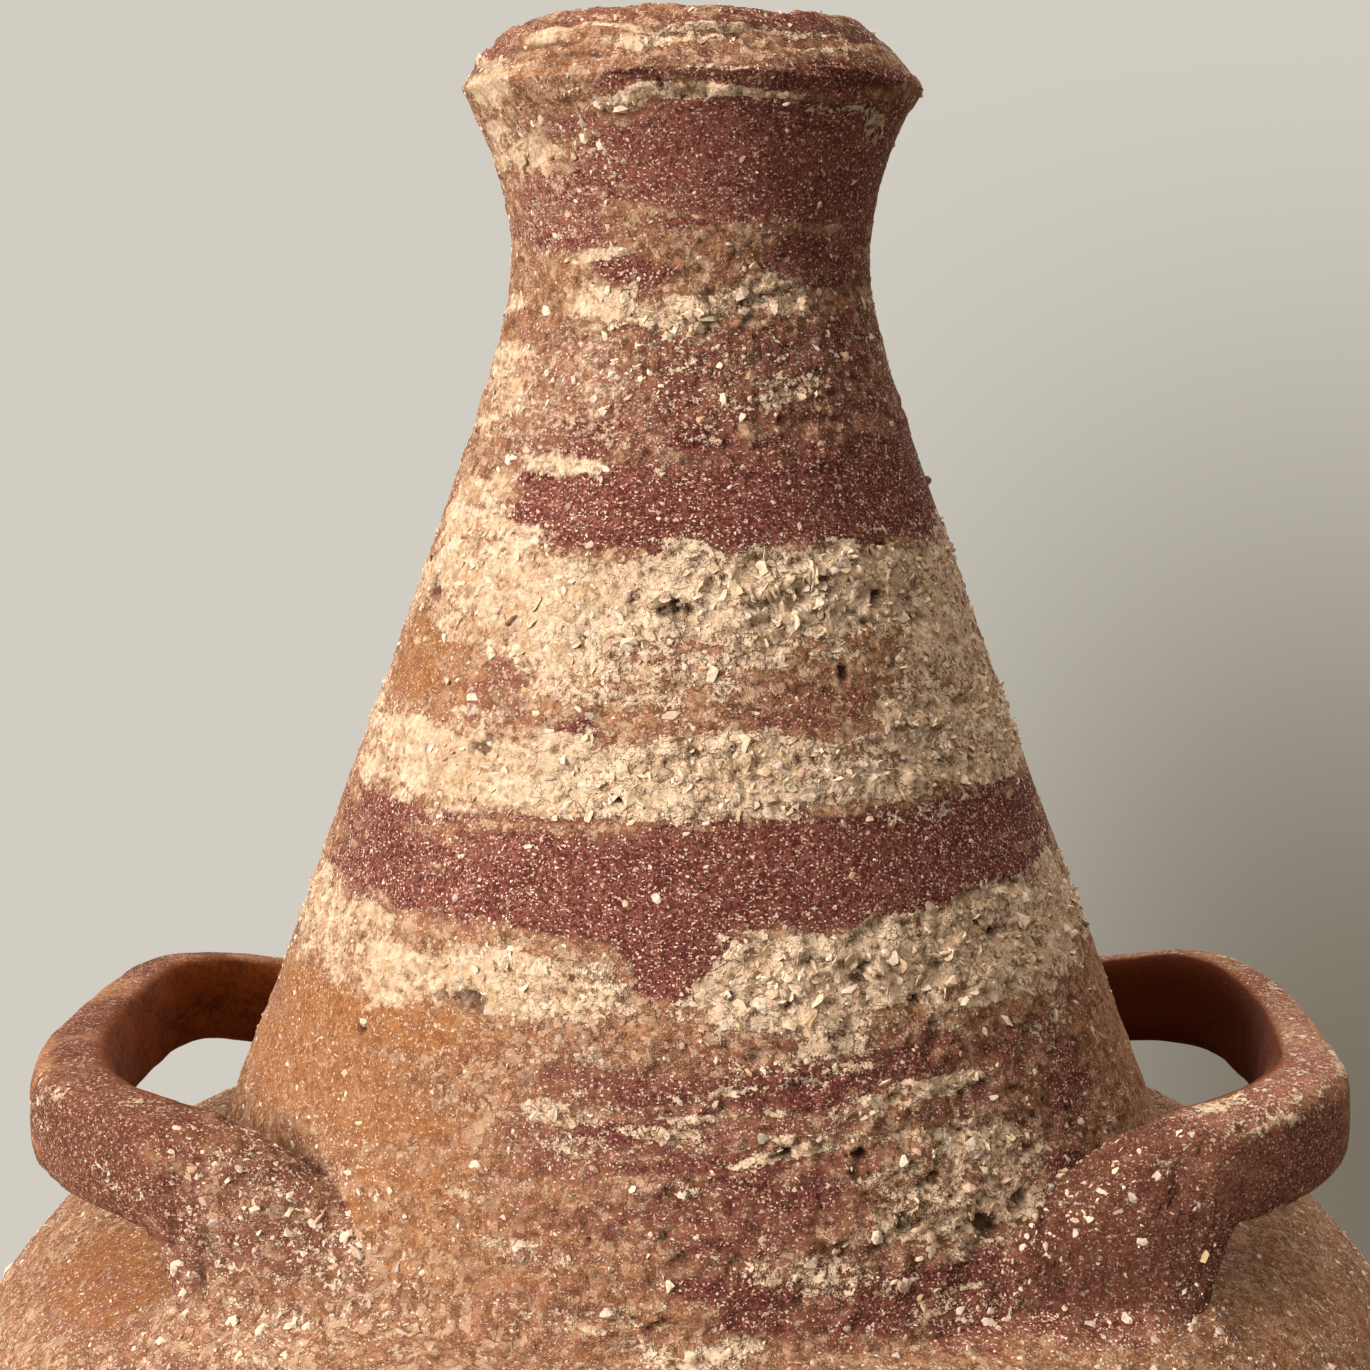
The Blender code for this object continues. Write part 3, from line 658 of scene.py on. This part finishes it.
    # painted shade inside the loops, mottled and darker where the inside is deeper
    hollowShadeMottle = (0.6 * mottle + 0.4 * grainy + 0.6 - 0.6 * hollow).step(0.34, 0.62)
    depth = hollow * 0.95  # painted shade: inside the loops the clay is painted darkest
    depth = depth.maths("MINIMUM", depth, 0.97)
    ground = depth.colours(ground, hollowShadeMottle.colours(c["hollowShadeDark"], c["hollow"]))
    # painted shade in crevices, grooves and pits
    ground = (crevice * 0.85).colours(ground, c["crevice"])
    ground.into(shader, "Base Color")
    (0.94 - 0.22 * speck).into(shader, "Roughness")
    height = rough * 0.6 * grainy + 0.22 * sand + 0.2 * speck
    height = height + broken * (0.85 * plates[0] + 0.30 * plates[1] - 0.65 * split)
    wire.node("ShaderNodeBump", None, 0, Strength=0.8, Distance=0.0009, Height=height).into(shader, "Normal")
    return material


def shellGrit(name):
    material, shader, wire = startMaterial(name)
    tone = layerOf(wire, "tone")
    spot = wire.node("ShaderNodeTexCoord", out=3)
    stain = wire.node("ShaderNodeTexNoise", None, 0, Vector=spot, Scale=900.0, Detail=2.0)
    tones = [(0.0, (0.44, 0.29, 0.17)), (0.2, (0.62, 0.47, 0.31)), (0.4, (0.74, 0.60, 0.43)),
             (0.58, (0.74, 0.64, 0.52)), (0.70, (0.66, 0.47, 0.36)), (0.80, (0.47, 0.40, 0.36)),
             (0.90, (0.62, 0.40, 0.28)), (1.0, (0.62, 0.42, 0.16))]
    base = wire.node("ShaderNodeValToRGB", dict(stops=tones), 0, Fac=tone)
    (stain.step(0.45, 0.75) * 0.6).colours(base, (0.36, 0.20, 0.12)).into(shader, "Base Color")
    shader.inputs["Roughness"].default_value = 0.66
    wire.node("ShaderNodeBump", None, 0, Strength=0.4, Distance=0.0004, Height=stain).into(shader, "Normal")
    return material


vaseClay = marbledClay("marbledClay", clayColours)
gritShell = shellGrit("shellGrit")
print("clays ready")


# walls

def sculptWall(piece, direction, wobble=0.0):
    mesh = piece.data
    p = readPoints(mesh)
    skin = readLayer(mesh, "skin") > 0.5
    clays = marbling(p)
    out, crevice = relief(p, clays)
    uneven = wobble * (1 - 0.7 * farRight(p)) * ramp(p[:, 2], lipSeam, rimZ)
    uneven = uneven * roughNoise(p, (0.016, 0.016, 0.008), 97, 3)
    out = out + runTogether(*loopDistance(p)[:2]) + uneven
    inside = 0.0004 * softNoise(p, 0.02, 95)
    paint(mesh, cream=np.where(skin, clays["cream"], 0.15), red=np.where(skin, clays["red"], 0.25),
          ochre=np.where(skin, clays["ochre"], 0.6), crevice=np.where(skin, crevice, 0.0),
          wiped=wiped(p), blend=clays["blend"], brown=0 * out, hollow=0 * out)
    topBand = within(p[:, 2], *clayZones["topBand"])  # painted light: its red is painted lighter, and so is the left's, while the far right's red is painted darker as painted shade
    paint(mesh, dusty=topBand + 0.35 * wiped(p) - 0.4 * farRight(p))
    movePoints(mesh, p + direction(p) * np.where(skin, out, inside)[:, None])
    return piece


def radial(p):
    flat = p * (1, 1, 0)
    return flat / np.maximum(np.linalg.norm(flat, axis=1), 1e-6)[:, None]


def fromRing(radius, height):
    def direction(p):
        away = p - radial(p) * radius - np.array((0, 0, height))
        return away / np.maximum(np.linalg.norm(away, axis=1), 1e-6)[:, None]
    return direction


def wallOutline(radiusOf, top, foot, wall, piece):  # down the outside and back up the inside
    down, up = spaced(top, foot, piece["row"]), spaced(foot, top, piece["insideRow"])
    outside = [(r, z, 1) for r, z in zip(radiusOf(down), down)]
    return outside + [(r - wall, z, 0) for r, z in zip(radiusOf(up), up)]


neckPiece = dict(cuts=(0.434, 0.364, 0.331), around=720, row=0.0006545, insideRow=0.010, overlap=0.0012)
neckEnds = (lipSeam, *neckPiece["cuts"], neckSeam - neckPiece["overlap"])
necks = []
for k, (zTop, zFoot) in enumerate(zip(neckEnds, neckEnds[1:])):
    outline = wallOutline(neckRadius, zTop, zFoot, form["neckWall"], neckPiece)
    bm = turnedSkin(outline, neckPiece["around"], (zTop, zFoot))
    necks.append(sculptWall(newPiece(f"neckCone{k + 1}", bm, "neck_cone", vaseClay), radial))
print("neck", [len(n.data.vertices) for n in necks])

lipPiece = dict(around=720, row=0.0007, crestRound=0.003, edgeRound=0.0022, worn=0.0006, wobble=0.0006,
                middle=(0.0355, 0.4865), mouthBends=((0.0075, 0.003), (0.0005, 0.008)))
crest, edge = (form["lipCrest"], form["height"]), (form["rimRadius"], rimZ)
bevel = bezier(crest, (crest[0] + lipPiece["crestRound"], crest[1] - lipPiece["worn"]),
               (edge[0], edge[1] + lipPiece["edgeRound"]), edge, 36)
under = [(neckRadius(z), z, 1) for z in spaced(rimZ, lipSeam, lipPiece["row"])[1:]]
(lowIn, lowDown), (highIn, highDown) = lipPiece["mouthBends"]
mouth = bezier((neckRadius(lipSeam) - form["neckWall"], lipSeam), (edge[0] - lowIn, edge[1] - lowDown),
               (form["mouthRadius"] - highIn, form["height"] - highDown), crest, 22)
outline = [(r, z, 1) for r, z in bevel] + under + [(r, z, 0) for r, z in mouth[:-1]]
bm = turnedSkin(outline, lipPiece["around"], (lipSeam,))
lipRing = newPiece("lipRing", bm, "lip_ring", vaseClay)


def lipDirection(p):  # out from the rim's middle, level again at the seam
    low = ramp(p[:, 2], lipSeam, rimZ + 0.001)[:, None]
    way = fromRing(*lipPiece["middle"])(p) * low + radial(p) * (1 - low)
    return way / np.linalg.norm(way, axis=1)[:, None]


sculptWall(lipRing, lipDirection, lipPiece["wobble"])

shoulderPiece = dict(around=800, row=0.00105, insideTurn=0.12, tuck=0.004, film=0.0003)


def shoulderArc(radius, turns, skin):
    across, up = shoulderCentre + radius * np.sin(turns), form["bellyHeight"] + radius * np.cos(turns)
    return [(r, z, skin) for r, z in zip(across, up)]


reachIn = math.asin((form["neckFootRadius"] - shoulderPiece["tuck"] - shoulderCentre) / form["shoulderRound"])
turns = spaced(reachIn, math.pi / 2, shoulderPiece["row"] / form["shoulderRound"])
inRound = form["shoulderRound"] - form["bowlWall"]
opening = form["neckFootRadius"] - form["neckWall"]
outline = shoulderArc(form["shoulderRound"], turns, 1)
outline += shoulderArc(inRound, spaced(math.pi / 2, 0.0, shoulderPiece["insideTurn"]), 0)
outline += [(opening, form["bellyHeight"] + inRound, 0), (opening, neckSeam - shoulderPiece["film"], 0)]
bm = turnedSkin(outline, shoulderPiece["around"], (form["bellyHeight"],))
shoulderDome = newPiece("shoulderDome", bm, "shoulder_dome", vaseClay)
sculptWall(shoulderDome, fromRing(shoulderCentre, form["bellyHeight"]))

bowlPiece = dict(around=800, row=0.0020, insideRow=0.012)
outline = wallOutline(bowlRadius, form["bellyHeight"], form["slab"], form["bowlWall"], bowlPiece)
bm = turnedSkin(outline, bowlPiece["around"], (form["bellyHeight"], form["slab"]))
lowerBowl = newPiece("lowerBowl", bm, "lower_bowl", vaseClay)
sculptWall(lowerBowl, radial)

slabPiece = dict(around=800, row=0.0016, edgeRound=0.002, worn=0.0006, floorRing=0.03, underRing=0.05)
zs = spaced(form["slab"], slabPiece["edgeRound"], slabPiece["row"])
inner, foot = bowlRadius(form["slab"]) - form["bowlWall"], form["footRadius"]
outline = [(r, form["slab"], 0) for r in (0.0, slabPiece["floorRing"], inner)]
outline += [(r, z, 1) for r, z in zip(bowlRadius(zs), zs)]
outline += [(foot - slabPiece["worn"], slabPiece["worn"], 0)]
outline += [(r, 0.0, 0) for r in (foot - slabPiece["edgeRound"], slabPiece["underRing"], 0.0)]
bm = turnedSkin(outline, slabPiece["around"], (form["slab"],))
baseSlab = newPiece("baseSlab", bm, "base_slab", vaseClay)
sculptWall(baseSlab, radial)
print("walls done")


# handles

def handleSkin(side, first, last):
    h = handlePiece
    dense = np.linspace(first, last, 600)
    centre = loopSection(dense, side)[0]
    run = np.concatenate([[0], np.cumsum(np.linalg.norm(np.diff(centre, axis=0), axis=1))])
    rows = int(run[-1] / h["along"])
    angle = np.interp(np.linspace(0, run[-1], rows + 1), run, dense)
    centre, thick, height, lean = loopSection(angle, side)
    ahead = loopSection(angle + 0.2, side)[0] - loopSection(angle - 0.2, side)[0]
    ahead[:, 2] = 0
    ahead /= np.linalg.norm(ahead, axis=1)[:, None]
    outward = np.stack([ahead[:, 1], -ahead[:, 0], 0 * ahead[:, 0]], 1)
    outward *= np.sign((outward * centre * (1, 1, 0)).sum(1))[:, None]

    def bend(column, row):
        turn = 2 * math.pi * column / h["around"]
        power = 2 / h["squareness"]
        across = np.sign(np.cos(turn)) * np.abs(np.cos(turn)) ** power
        up = np.sign(np.sin(turn)) * np.abs(np.sin(turn)) ** power
        aside = across * thick[row] / 2 - lean[row] * up * height[row] / 2
        points = centre[row] + outward[row] * aside[:, None]
        points[:, 2] += up * height[row] / 2
        nx = np.sign(across) * np.abs(across) ** (h["squareness"] - 1) / np.maximum(thick[row], 1e-4)
        nz = np.sign(up) * np.abs(up) ** (h["squareness"] - 1) / np.maximum(height[row], 1e-4)
        way = outward[row] * nx[:, None] + np.array((0, 0, 1.0)) * nz[:, None]
        way /= np.linalg.norm(way, axis=1)[:, None]
        kept = dict(zip(("wayX", "wayY", "wayZ"), way.T), run=np.abs(angle[row]), inner=-across, top=up)
        return points, kept

    bm = bentSheet(h["around"], rows, bend)
    rims = [e for e in bm.edges if e.is_boundary]
    for e in rims:
        e.smooth = False
    bmesh.ops.holes_fill(bm, edges=rims, sides=0)
    bmesh.ops.recalc_face_normals(bm, faces=bm.faces)
    return bm


def outsideWall(p):  # height of points over the outside of neck and shoulder
    r = np.hypot(p[:, 0], p[:, 1])
    overNeck = np.where(p[:, 2] > neckSeam, (r - neckRadius(np.maximum(p[:, 2], neckSeam))) * 0.93, 1.0)
    fromCentre = np.hypot(np.maximum(r - shoulderCentre, 0), p[:, 2] - form["bellyHeight"])
    return np.minimum(overNeck, fromCentre - form["shoulderRound"])


def sculptHandle(piece):
    mesh = piece.data
    p = readPoints(mesh)
    run, inner, top = (readLayer(mesh, n) for n in ("run", "inner", "top"))
    way = np.stack([readLayer(mesh, n) for n in ("wayX", "wayY", "wayZ")], 1)
    for n in ("run", "inner", "top", "wayX", "wayY", "wayZ"):
        mesh.attributes.remove(mesh.attributes[n])
    pad = ramp(run, 32, 41)
    clays = marbling(p)
    out, crevice = relief(p, clays)
    streak = roughNoise(p, (0.020, 0.020, 0.005), 131, 3)
    angle = sideAngle(p)
    left = p[:, 0] < 0
    rubbed = 0.62 * np.exp(-((angle + 15) / 7) ** 2) * ramp(-inner, 0.2, 0.7)
    upward = ramp(top, 0.5, 0.9)
    # on the left strap its rear part and a rubbed place are paler clay; on the right strap the top faces are
    # painted lighter, as painted light from above
    paleAndLitTop = np.where(left, np.maximum(0.40 * ramp(angle, -22, 12), rubbed), 0.30 * upward)
    edge = ramp(-inner, 0.45, 0.85) * ramp(np.abs(top), 0.45, 0.85)  # worn pale in places
    worn = edge * ramp(roughNoise(p, (0.012, 0.012, 0.003), 149, 3), -0.2, 0.5) * (1 - pad)
    # painted shade on the inner faces of the loops, where little light reaches; below it is laid 1.7 times
    # deeper on the right loop
    hollow = ramp(inner, 0.3, 0.8) * (1 - pad)
    red = np.clip(np.where(left, 0.94, 0.90) - paleAndLitTop + 0.45 * streak, 0, 1.2)
    cream = 0.02 + 0.42 * ramp(streak, 0.6, 1.1) + np.where(left, 0.25, 0.40) * worn
    cream = cream + np.where(left, 0.12, 0.9) * paleAndLitTop
    ochre = np.clip(0.15 + 0.3 * softNoise(p, 0.02, 137), 0, 1)
    red = red * (1 - pad) + clays["red"] * pad  # strap clay, and the wall's clay on the roots
    cream = (np.clip(cream, 0, 1) * (1 - pad) + clays["cream"] * pad) * (1 - hollow)
    ochre = ochre * (1 - pad) + clays["ochre"] * pad
    finger = 0.60 * softNoise(p, 0.022, 140) + 0.22 * softNoise(p, 0.008, 141)
    finger = finger + 0.05 * roughNoise(p, 0.003, 142, 2)
    out = pad * out + (finger + 0.3 * worn) * mm + pad * 0.4 * mm * roughNoise(p, 0.009, 143, 2)
    split = np.abs(roughNoise(p, (0.010, 0.010, 0.014), 146, 2))
    # cracks where strap and root were pressed together
    crack = (1 - ramp(split, 0.0, 0.06)) * ramp(run, 30, 34) * (1 - ramp(run, 39, 44))
    crack = crack * ramp(softNoise(p, 0.012, 147), -0.1, 0.3)
    out = out - 0.9 * mm * crack + pad * runTogether(outsideWall(p), loopDistance(p)[1])
    # painted shade in the cracks and crevices of the roots, and a painted shade over the whole right root
    crevice = np.clip(crevice * pad + 0.9 * crack + np.where(left, 0, 0.50 * pad), 0, 1)
    brown = np.where(left, 1 - pad, 0.85 - 0.45 * np.maximum(pad, upward))
    # painted light and shade: the right strap's top faces are painted lighter red, the whole left strap
    # darker red
    paint(mesh, red=red, cream=cream, ochre=ochre, crevice=crevice, wiped=0.5 * worn, blend=0.3 + 0.3 * pad,
          brown=brown, hollow=hollow * np.where(left, 1, 1.7), dusty=np.where(left, -0.5, upward) * (1 - pad))
    movePoints(mesh, p + way * out[:, None])
    return piece


roots, straps = [], []
for word, side in (("left", -1), ("right", 1)):
    end, tip = handlePiece["strapEnd"], handlePiece["rootTip"]
    bm = handleSkin(side, -end, end)
    straps.append(sculptHandle(newPiece(f"{word}Strap", bm, f"{word}_handle_strap", vaseClay)))
    for place, first, last in (("Front", -tip, -end), ("Rear", end, tip)):
        bm = handleSkin(side, first, last)
        root = newPiece(f"{word}{place}Root", bm, f"{word}_{place.lower()}_root", vaseClay)
        roots.append(sculptHandle(root))
print("handles done")


# shell and grit standing in the clay

gritPiece = dict(
    seed=5, shapes=9, bold=dict(tilt=0.22, sink=0.10, on="open"),
    gravel=dict(size=0.0023, most=0.0050, spread=0.40, tones=(0.08, 0.60), sink=0.30, tilt=0.35, on="coarse"),
    chips=dict(size=0.00122, most=0.0042, spread=0.50, tones=(0.36, 0.94), sink=0.12, tilt=0.35, on="open"),
    bigChips=dict(size=0.0021, most=0.0036, spread=0.22, tones=(0.40, 0.94), sink=0.14, tilt=0.30, on="open"),
    flakes=dict(size=0.0023, most=0.0042, spread=0.36, tones=(0.14, 0.66), sink=0.10, tilt=0.46, on="coarse",
                thick=(0.10, 0.20)),
    rootChips=dict(size=0.0015, most=0.0045, spread=0.45, tones=(0.36, 0.94), sink=0.12, tilt=0.35,
                   on="root"),
    flecks=dict(size=0.00075, most=0.0019, spread=0.36, tones=(0.15, 0.66), sink=0.05, tilt=0.45, on="open",
                splinter=True),
    rootFlecks=dict(size=0.00080, most=0.0020, spread=0.36, tones=(0.0, 0.5), sink=0.05, tilt=0.45, on="root",
                    splinter=True))


def shard(seed, splinter=False):  # one broken chip, its longest side about 1
    rng = np.random.default_rng(seed)
    bm = bmesh.new()
    if splinter:
        bmesh.ops.create_uvsphere(bm, u_segments=4, v_segments=2, radius=0.5)
    else:
        bmesh.ops.create_icosphere(bm, subdivisions=1, radius=0.5)
    bmesh.ops.triangulate(bm, faces=bm.faces)
    for v in bm.verts:
        v.co *= float(rng.uniform(0.66, 1.2))
    bmesh.ops.recalc_face_normals(bm, faces=bm.faces)
    points = np.array([v.co[:] for v in bm.verts])
    faces = np.array([[v.index for v in f.verts] for f in bm.faces])
    bm.free()
    return points, faces


shards = [shard(k) for k in range(gritPiece["shapes"])]
splinters = [shard(k, True) for k in range(gritPiece["shapes"])]


def unit(vectors):
    return vectors / np.maximum(np.linalg.norm(vectors, axis=1), 1e-9)[:, None]


def gritChance(mesh, p, on):
    if on == "root":
        onRoot = 0.05 + ramp(np.abs(sideAngle(p)), 34, 44)
        return onRoot * (outsideWall(p) > 0.0005) * np.where(p[:, 0] < 0, 1, 0.5)
    cream, red, ochre = (readLayer(mesh, n) for n in ("cream", "red", "ochre"))
    outside = (readLayer(mesh, "skin") > 0.5) * np.hypot(p[:, 0], p[:, 1])
    if on == "coarse":
        crowd = 0.35 + ramp(softNoise(p, 0.016, 153), -0.5, 0.5)
        return outside * (1 - 0.75 * wiped(p)) * ramp(cream, 0.45, 0.85) * crowd
    busy = 0.30 + 0.9 * ramp(cream, 0.15, 0.4) + 0.7 * ramp(roughNoise(p, 0.02, 151, 2), 0.1, 0.7)
    near = 1.5 * ramp(1 - loopDistance(p)[0] / 0.016, 0, 0.6)
    return outside * (busy * (1 - 0.55 * ramp(red, 0.5, 0.9)) * (1 - 0.5 * ramp(ochre, 0.5, 0.9)) + near)


def scatterGrit(name, walls, slot, bold=(), **counts):
    rng = np.random.default_rng(gritPiece["seed"] + sum(counts.values()))
    points, faces, tones, start = [], [], [], 0
    kinds = [*counts.items(), ("bold", len(bold))] if bold else counts.items()
    for kind, count in kinds:
        k = gritPiece[kind]
        spots, ways, chances = [], [], []
        for wall in walls:
            p = readPoints(wall.data)
            spots.append(p)
            ways.append(readNormals(wall.data))
            chances.append(gritChance(wall.data, p, k["on"] if wall not in roots else "root"))
        spots, ways, chances = np.concatenate(spots), np.concatenate(ways), np.concatenate(chances)
        if kind == "bold":  # the biggest chips have set places
            turn, barred = frontAngle(spots), 99 * (chances <= 0)
            picks = np.array([np.argmin(np.hypot((turn - angle) * 1.3, spots[:, 2] / mm - height) + barred)
                              for angle, height, *_ in bold])
        else:
            picks = rng.choice(len(spots), count, replace=False, p=chances / chances.sum())
        n = unit(unit(ways[picks]) + rng.normal(size=(count, 3)) * k["tilt"])
        along = unit(np.cross(n, rng.normal(size=(count, 3))))
        across = np.cross(n, along)
        if kind == "bold":
            size, toneOf = np.array([b[2] for b in bold])[:, None] * mm, np.array([b[3] for b in bold])
        else:
            size = np.minimum(k["size"] * np.exp(rng.normal(size=count) * k["spread"]), k["most"])[:, None]
            toneOf = rng.uniform(*k["tones"], size=count)
        narrow = (0.25, 0.6) if "splinter" in k else (0.45, 0.95)
        along, across = along * size, across * size * rng.uniform(*narrow, (count, 1))
        high = n * size * rng.uniform(*k.get("thick", (0.22, 0.48)), (count, 1))
        centre = spots[picks] - n * size * k["sink"]
        made = splinters if "splinter" in k else shards
        shapes = rng.integers(len(made), size=count)
        for which, (shape, shapeFaces) in enumerate(made):
            mine = np.flatnonzero(shapes == which)
            placed = (shape[None, :, :1] * along[mine, None] + shape[None, :, 1:2] * across[mine, None]
                      + shape[None, :, 2:] * high[mine, None] + centre[mine, None])
            points.append(placed.reshape(-1, 3))
            offsets = start + np.arange(len(mine)) * len(shape)
            faces.append((shapeFaces[None] + offsets[:, None, None]).reshape(-1, 3))
            tones.append(np.repeat(toneOf[mine], len(shape)))
            start += len(mine) * len(shape)
    mesh = bpy.data.meshes.new(name)
    mesh.from_pydata(np.concatenate(points).tolist(), [], np.concatenate(faces).tolist())
    mesh.materials.append(gritShell)
    paint(mesh, tone=np.concatenate(tones))
    piece = bpy.data.objects.new(name, mesh)
    scene.collection.objects.link(piece)
    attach(piece, "root")
    return piece


# set places: angle, height mm, size mm, tone
boldUpper = [
    (-49, 446, 2.8, 0.56), (7, 444.5, 3.8, 0.58), (-20, 450, 2.6, 0.60), (-34, 447, 2.8, 0.58),
    (-48, 419, 2.6, 0.55), (-24, 417.3, 3.2, 0.57), (12, 427, 2.8, 0.50), (24, 407.5, 2.6, 0.88),
    (13.4, 366.6, 4.4, 0.78), (-52, 428, 2.4, 0.56)]
boldLower = [
    (-42, 355, 2.6, 0.55), (-36, 349, 2.4, 0.55), (-25, 352, 2.4, 0.56), (-5.1, 344.5, 3.2, 0.55),
    (2, 350, 2.0, 0.58), (-46.5, 317, 2.6, 0.58), (-36.7, 279.4, 4.2, 0.79), (-34.3, 275, 4.4, 0.78),
    (24, 300, 3.0, 0.55), (-25, 299, 3.0, 0.55), (8, 306, 2.6, 0.52), (40, 318, 2.6, 0.56),
    (47, 309, 2.6, 0.50), (55, 318, 2.4, 0.56), (42.5, 277.5, 3.0, 0.5), (45.8, 274.9, 2.0, 0.57)]
boldRoots = [
    (-58.5, 275.6, 2.8, 0.57), (-45.3, 289, 3.2, 0.56), (-43.8, 288, 3.4, 0.52),
    (-52.4, 288.6, 2.4, 0.55), (-50.7, 279.2, 3.0, 0.50), (-56, 283, 2.6, 0.47), (60.8, 291.2, 4.2, 0.57),
    (55.9, 290.4, 3.0, 0.57), (52.2, 287.1, 3.8, 0.47), (67.4, 273.7, 4.4, 0.45),
    (60.5, 275.2, 3.6, 0.44), (49.6, 282.9, 3.6, 0.45), (47.9, 289.5, 3.2, 0.47),
    (53.5, 275.4, 3.2, 0.55)]
boldShoulder = [
    (-41.8, 270.6, 4.8, 0.50), (-39.9, 271, 3.2, 0.60), (-38, 271.2, 3.6, 0.58), (-50, 266.5, 3.0, 0.56)]
scatterGrit("neckGritUpper", necks[:2], "shell_clay", boldUpper,
            gravel=3300, bigChips=400, chips=4300, flecks=3600)
scatterGrit("neckGritLower", necks[2:], "shell_clay", boldLower,
            gravel=3800, bigChips=330, chips=2900, flecks=5400)
scatterGrit("neckShellUpper", necks[:2], "shell_clay", flakes=1700)
scatterGrit("neckShellLower", necks[2:], "shell_clay", flakes=1700)
scatterGrit("lipGrit", [lipRing], "red_clay", chips=200, flecks=900)
scatterGrit("shoulderGrit", [shoulderDome], "ochre_clay", boldShoulder, chips=4000, flecks=11000)
scatterGrit("bowlGrit", [lowerBowl], "ochre_clay", gravel=2500, chips=2600, flecks=5000)
scatterGrit("rootGrit", roots, "red_clay", boldRoots, rootChips=560, rootFlecks=900)
for piece in [*necks, lipRing, shoulderDome, lowerBowl, baseSlab]:
    piece.data.attributes.remove(piece.data.attributes["skin"])
print("grit done")


# stage, light and camera

stagePiece = dict(size=0.58, colour=(0.48, 0.455, 0.415))
bm = bmesh.new()
bmesh.ops.create_circle(bm, cap_ends=True, segments=128, radius=stagePiece["size"])
floorMesh = bpy.data.meshes.new("floor")
bm.to_mesh(floorMesh)
bm.free()
floor = bpy.data.objects.new("floor", floorMesh)
scene.collection.objects.link(floor)
floorMaterial, floorShader = startMaterial("paleFloor")[:2]
floorShader.inputs["Base Color"].default_value = (*stagePiece["colour"], 1)
floorShader.inputs["Roughness"].default_value = 0.9
floorMesh.materials.append(floorMaterial)

lightSet = dict(
    key=dict(place=(-1.30, -0.92, 0.98), size=0.8, power=45.5, colour=(1.0, 0.945, 0.875)),
    fill=dict(place=(0.6, -1.5, 0.9), size=1.6, power=0.5, colour=(1.0, 0.90, 0.78)),
    back=dict(place=(0.35, 1.75, 1.05), size=1.3, power=22, colour=(1.0, 0.95, 0.88)))
lampAim = Vector((0, 0, 0.36))
for name, lamp in lightSet.items():
    data = bpy.data.lights.new(name, "AREA")
    data.size = lamp["size"]
    data.energy = lamp["power"]
    data.color = lamp["colour"]
    holder = bpy.data.objects.new(name, data)
    scene.collection.objects.link(holder)
    holder.location = lamp["place"]
    holder.rotation_euler = (lampAim - Vector(lamp["place"])).to_track_quat("-Z", "Y").to_euler()

skySet = dict(wall=(0.645, 0.610, 0.540), wallShade=(0.19, 0.165, 0.125),
              low=(0.055, 0.042, 0.027), high=(1.66, 1.50, 1.31))
world = bpy.data.worlds.new("paleWall")
scene.world = world
world.use_nodes = True
tree = world.node_tree
tree.nodes.clear()
sky = Wire(tree)
way = sky.node("ShaderNodeTexCoord", out=0)
sideways = sky.node("ShaderNodeSeparateXYZ", None, 0, Vector=way)
fall = 0 - sideways.also("Z")
behind = sideways.also("Y").step(0.3, 0.7)  # the wall darkens to the lower right behind the vase
shade = sideways.step(-0.05, 0.27) * behind * fall.step(-0.13, 0.34) * (1 - fall.step(0.38, 0.55))
wall = shade.colours(skySet["wall"], skySet["wallShade"])
path = sky.node("ShaderNodeLightPath")
seen = path.also("Is Camera Ray")
for other in ("Is Glossy Ray", "Is Transmission Ray"):
    seen = seen.maths("MAXIMUM", seen, path.also(other))
shown = sky.node("ShaderNodeBackground", None, 0, Color=wall, Strength=1.0)
above = sideways.also("Z").step(0.25, 1.0).colours(skySet["low"], skySet["high"])
given = sky.node("ShaderNodeBackground", None, 0, Color=above, Strength=1.0)
mixed = sky.node("ShaderNodeMixShader", None, 0, i0=seen, i1=given, i2=shown)
tree.links.new(mixed.socket, tree.nodes.new("ShaderNodeOutputWorld").inputs["Surface"])

# width of the picture, focal length and drop below the horizon in its pixels
cameraSet = dict(place=(-0.0012, -0.480, 0.451), sensor=36, wide=1370, focal=2400, drop=402)
cameraData = bpy.data.cameras.new("camera")
cameraData.lens = cameraSet["sensor"] * cameraSet["focal"] / cameraSet["wide"]
cameraData.sensor_width = cameraSet["sensor"]
cameraData.clip_start = 0.01
camera = bpy.data.objects.new("camera", cameraData)
scene.collection.objects.link(camera)
camera.location = cameraSet["place"]
down = math.atan(cameraSet["drop"] / cameraSet["focal"])
camera.rotation_euler = (math.pi / 2 - down, 0, 0)
scene.camera = camera
print("stage ready")
